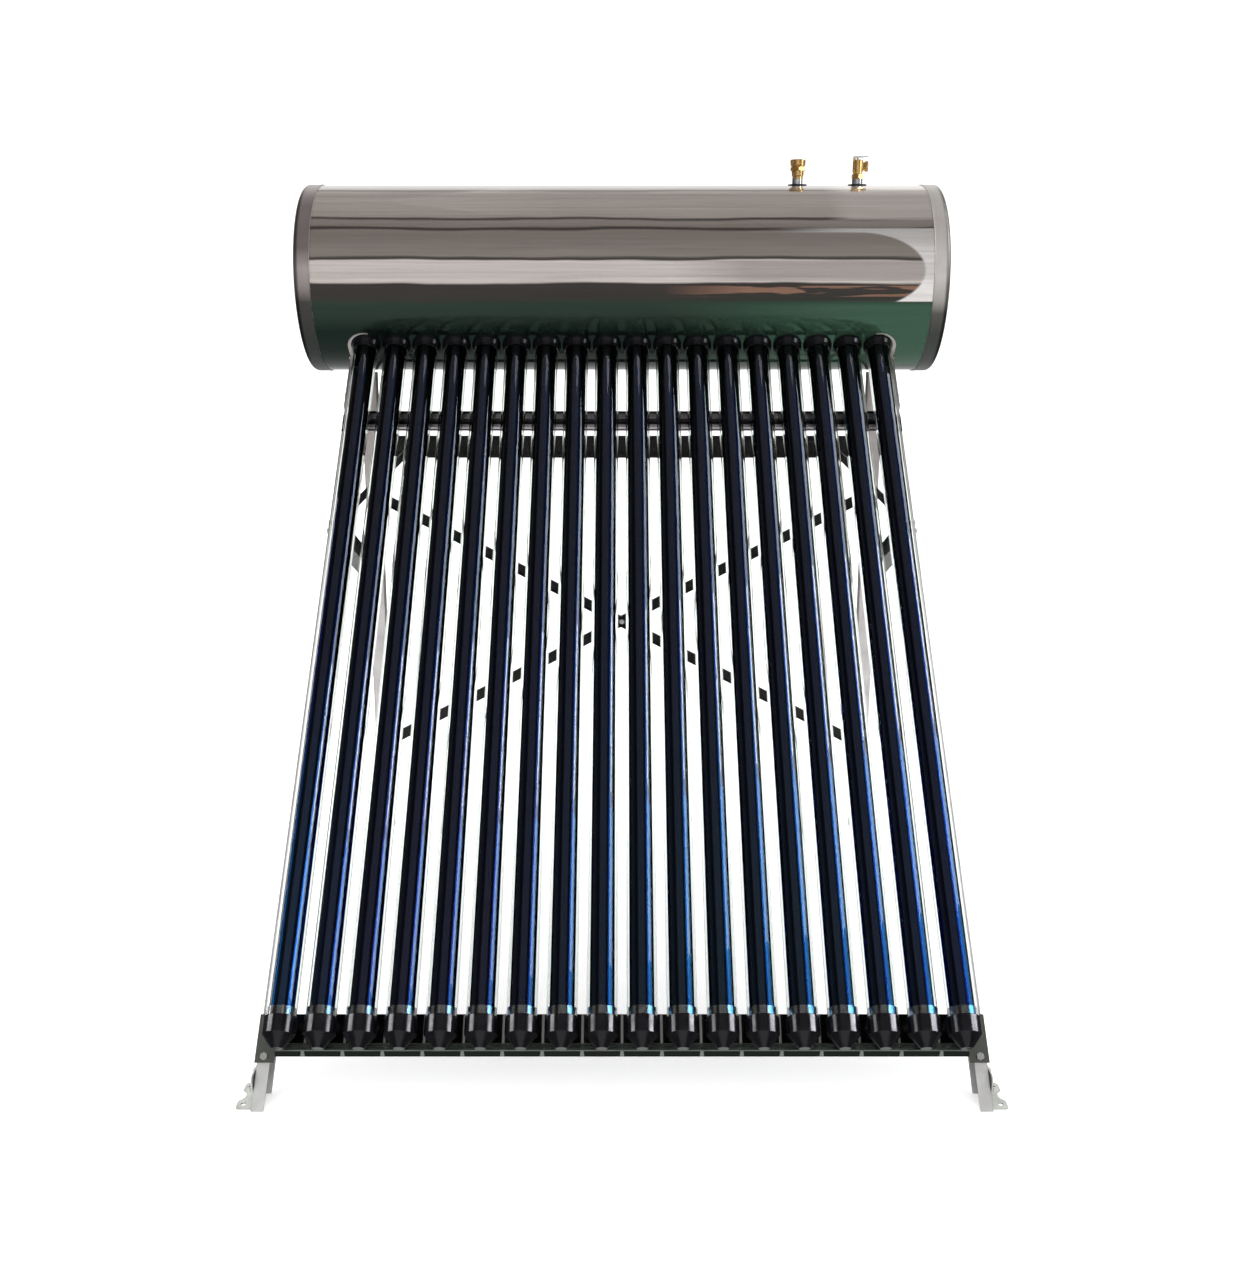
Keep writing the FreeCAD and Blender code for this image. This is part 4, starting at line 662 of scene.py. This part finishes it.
def ring_about_tank(bm, x, radius, wire):
    """Torus about the tank's axis."""
    rows = []
    for i in range(BEAD_AROUND):
        turn = math.tau * i / BEAD_AROUND
        row = []
        for j in range(BEAD_SECTION):
            roll = math.tau * j / BEAD_SECTION
            reach = radius + wire * math.cos(roll)
            y = TANK_CENTRE.y - reach * math.cos(turn)
            z = TANK_CENTRE.z + reach * math.sin(turn)
            row.append(bm.verts.new((x + wire * math.sin(roll), y, z)))
        rows.append(row)
    for i, here in enumerate(rows):
        there = rows[(i + 1) % BEAD_AROUND]
        for j in range(BEAD_SECTION):
            k = (j + 1) % BEAD_SECTION
            bm.faces.new((here[j], there[j], there[k], here[k]))


def cover_beads(material):
    """Rolled bead where each cover's skirt ends on the shell."""
    for side, word in ((-1, "left"), (1, "right")):
        bm = bmesh.new()
        ring_about_tank(bm, side * (COVER_LOW.x + BEAD_WIRE), COVER_RADIUS, BEAD_WIRE)
        piece = mesh_object("cover_bead_" + word, bm, material)
        for polygon in piece.data.polygons:
            polygon.use_smooth = True
        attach(piece, BODY)


# Stage

def stage():
    """A pale floor larger than any view of it, which gloss doesn't see."""
    bm = bmesh.new()
    corners = ((-1, -1), (1, -1), (1, 1), (-1, 1))
    bm.faces.new([bm.verts.new((x * FLOOR_HALF, y * FLOOR_HALF, -FLOOR_DROP)) for x, y in corners])
    floor = mesh_object("floor", bm, floor_paint())
    floor.visible_glossy = False


def studio_world():
    """White to the eye; in gloss dim in front and overhead, white behind and nearly black at the sides."""
    world = bpy.data.worlds.new("studio")
    bpy.context.scene.world = world
    tree = Tree(world)
    x, y, z = tree.xyz(tree.node("ShaderNodeTexCoord").outputs["Generated"])
    level = tree.span(y, *FRONT_TO_BACK, FRONT_LIGHT, BACK_LIGHT)
    overhead = tree.span(z, *OVERHEAD, curve="SMOOTHSTEP")
    level = tree.span(overhead, 0.0, 1.0, level, ZENITH_LIGHT)
    level = tree.span(tree.span(z, *HORIZON), 0.0, 1.0, level, FLOOR_LIGHT)
    share = tree.span(tree.math("ABSOLUTE", x), *SIDES, 1.0, SIDE_SHARE)
    in_gloss = tree.node("ShaderNodeLightPath").outputs["Is Glossy Ray"]
    strength = tree.span(in_gloss, 0.0, 1.0, WHITE_LIGHT, tree.times(level, share))
    tree.put(tree.nodes["Background"].inputs["Strength"], strength)
    tree.put(tree.nodes["Background"].inputs["Color"], (1.0, 1.0, 1.0))


def sun():
    """A wide soft sun, so that the floor takes a faint shadow."""
    data = bpy.data.lights.new("sun", "SUN")
    data.energy = SUN_POWER
    data.angle = math.radians(SUN_WIDTH)
    light = bpy.data.objects.new("sun", data)
    light.rotation_euler = (math.radians(SUN_TURN[0]), math.radians(SUN_TURN[1]), 0.0)
    light.visible_glossy = False
    bpy.context.scene.collection.objects.link(light)


def panel(name, lean, up_slope, length, width, radiance, color=(1.0, 1.0, 1.0), seen_in=()):
    """A lit board parallel to the tubes, leaning off their face by some degrees, seen only in gloss.
    Where seen_in names CAD nodes, only those show it."""
    data = bpy.data.lights.new(name, "AREA")
    data.shape = "RECTANGLE"
    data.size = width
    data.size_y = length
    data.energy = radiance * math.pi * width * length
    data.color = color
    light = bpy.data.objects.new(name, data)
    off = math.radians(lean)
    back = X_AXIS * math.sin(off) + TUBE_FACE * math.cos(off)
    light.location = TUBE_FOOT + SLOPE * up_slope + back * PANEL_DISTANCE
    light.rotation_euler = Matrix((SLOPE.cross(back), SLOPE, back)).transposed().to_euler()
    light.visible_diffuse = False
    bpy.context.scene.collection.objects.link(light)
    if seen_in:
        receivers = bpy.data.collections.new(name + "_receivers")
        for node in seen_in:
            receivers.objects.link(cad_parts[node])
        light.light_linking.receiver_collection = receivers


def studio():
    """Boards at the right draw the tubes' blue lines; low ones at both sides draw the cups' light sides."""
    studio_world()
    sun()
    panel("right_board", lean=66, up_slope=3.04, length=3.64, width=1.2, radiance=3.2,
          color=(0.90, 0.96, 1.0))
    panel("right_core", lean=64, up_slope=2.48, length=0.93, width=0.4, radiance=10.0)
    panel("right_low", lean=68, up_slope=0.92, length=0.36, width=2.0, radiance=25.0,
          color=(0.95, 0.93, 1.0), seen_in=LOW_SHINE)
    panel("right_sky", lean=67, up_slope=1.25, length=1.40, width=1.5, radiance=3.6,
          color=(0.10, 0.45, 1.0), seen_in=GLASS_TUBES)
    panel("left_low", lean=-68, up_slope=0.90, length=0.34, width=1.6, radiance=12.0,
          color=(1.0, 0.98, 1.0), seen_in=LOW_SHINE)
    panel("left_board", lean=-87, up_slope=1.90, length=2.40, width=0.6, radiance=2.5,
          seen_in=LEFT_TUBE)


def camera():
    """Camera in front of the heater, level across and looking a little down."""
    data = bpy.data.cameras.new("camera")
    data.lens = CAMERA_LENS
    data.sensor_width = CAMERA_SENSOR
    data.clip_end = CAMERA_REACH
    made = bpy.data.objects.new("camera", data)
    made.location = CAMERA_PLACE
    made.rotation_euler = (math.radians(90.0 - CAMERA_PITCH), 0.0, 0.0)
    bpy.context.scene.collection.objects.link(made)
    bpy.context.scene.camera = made


painted = paint()
cover_beads(painted["end_cover"])
stage()
studio()
camera()
bpy.context.scene.view_settings.view_transform = "Standard"

bpy.context.view_layer.update()
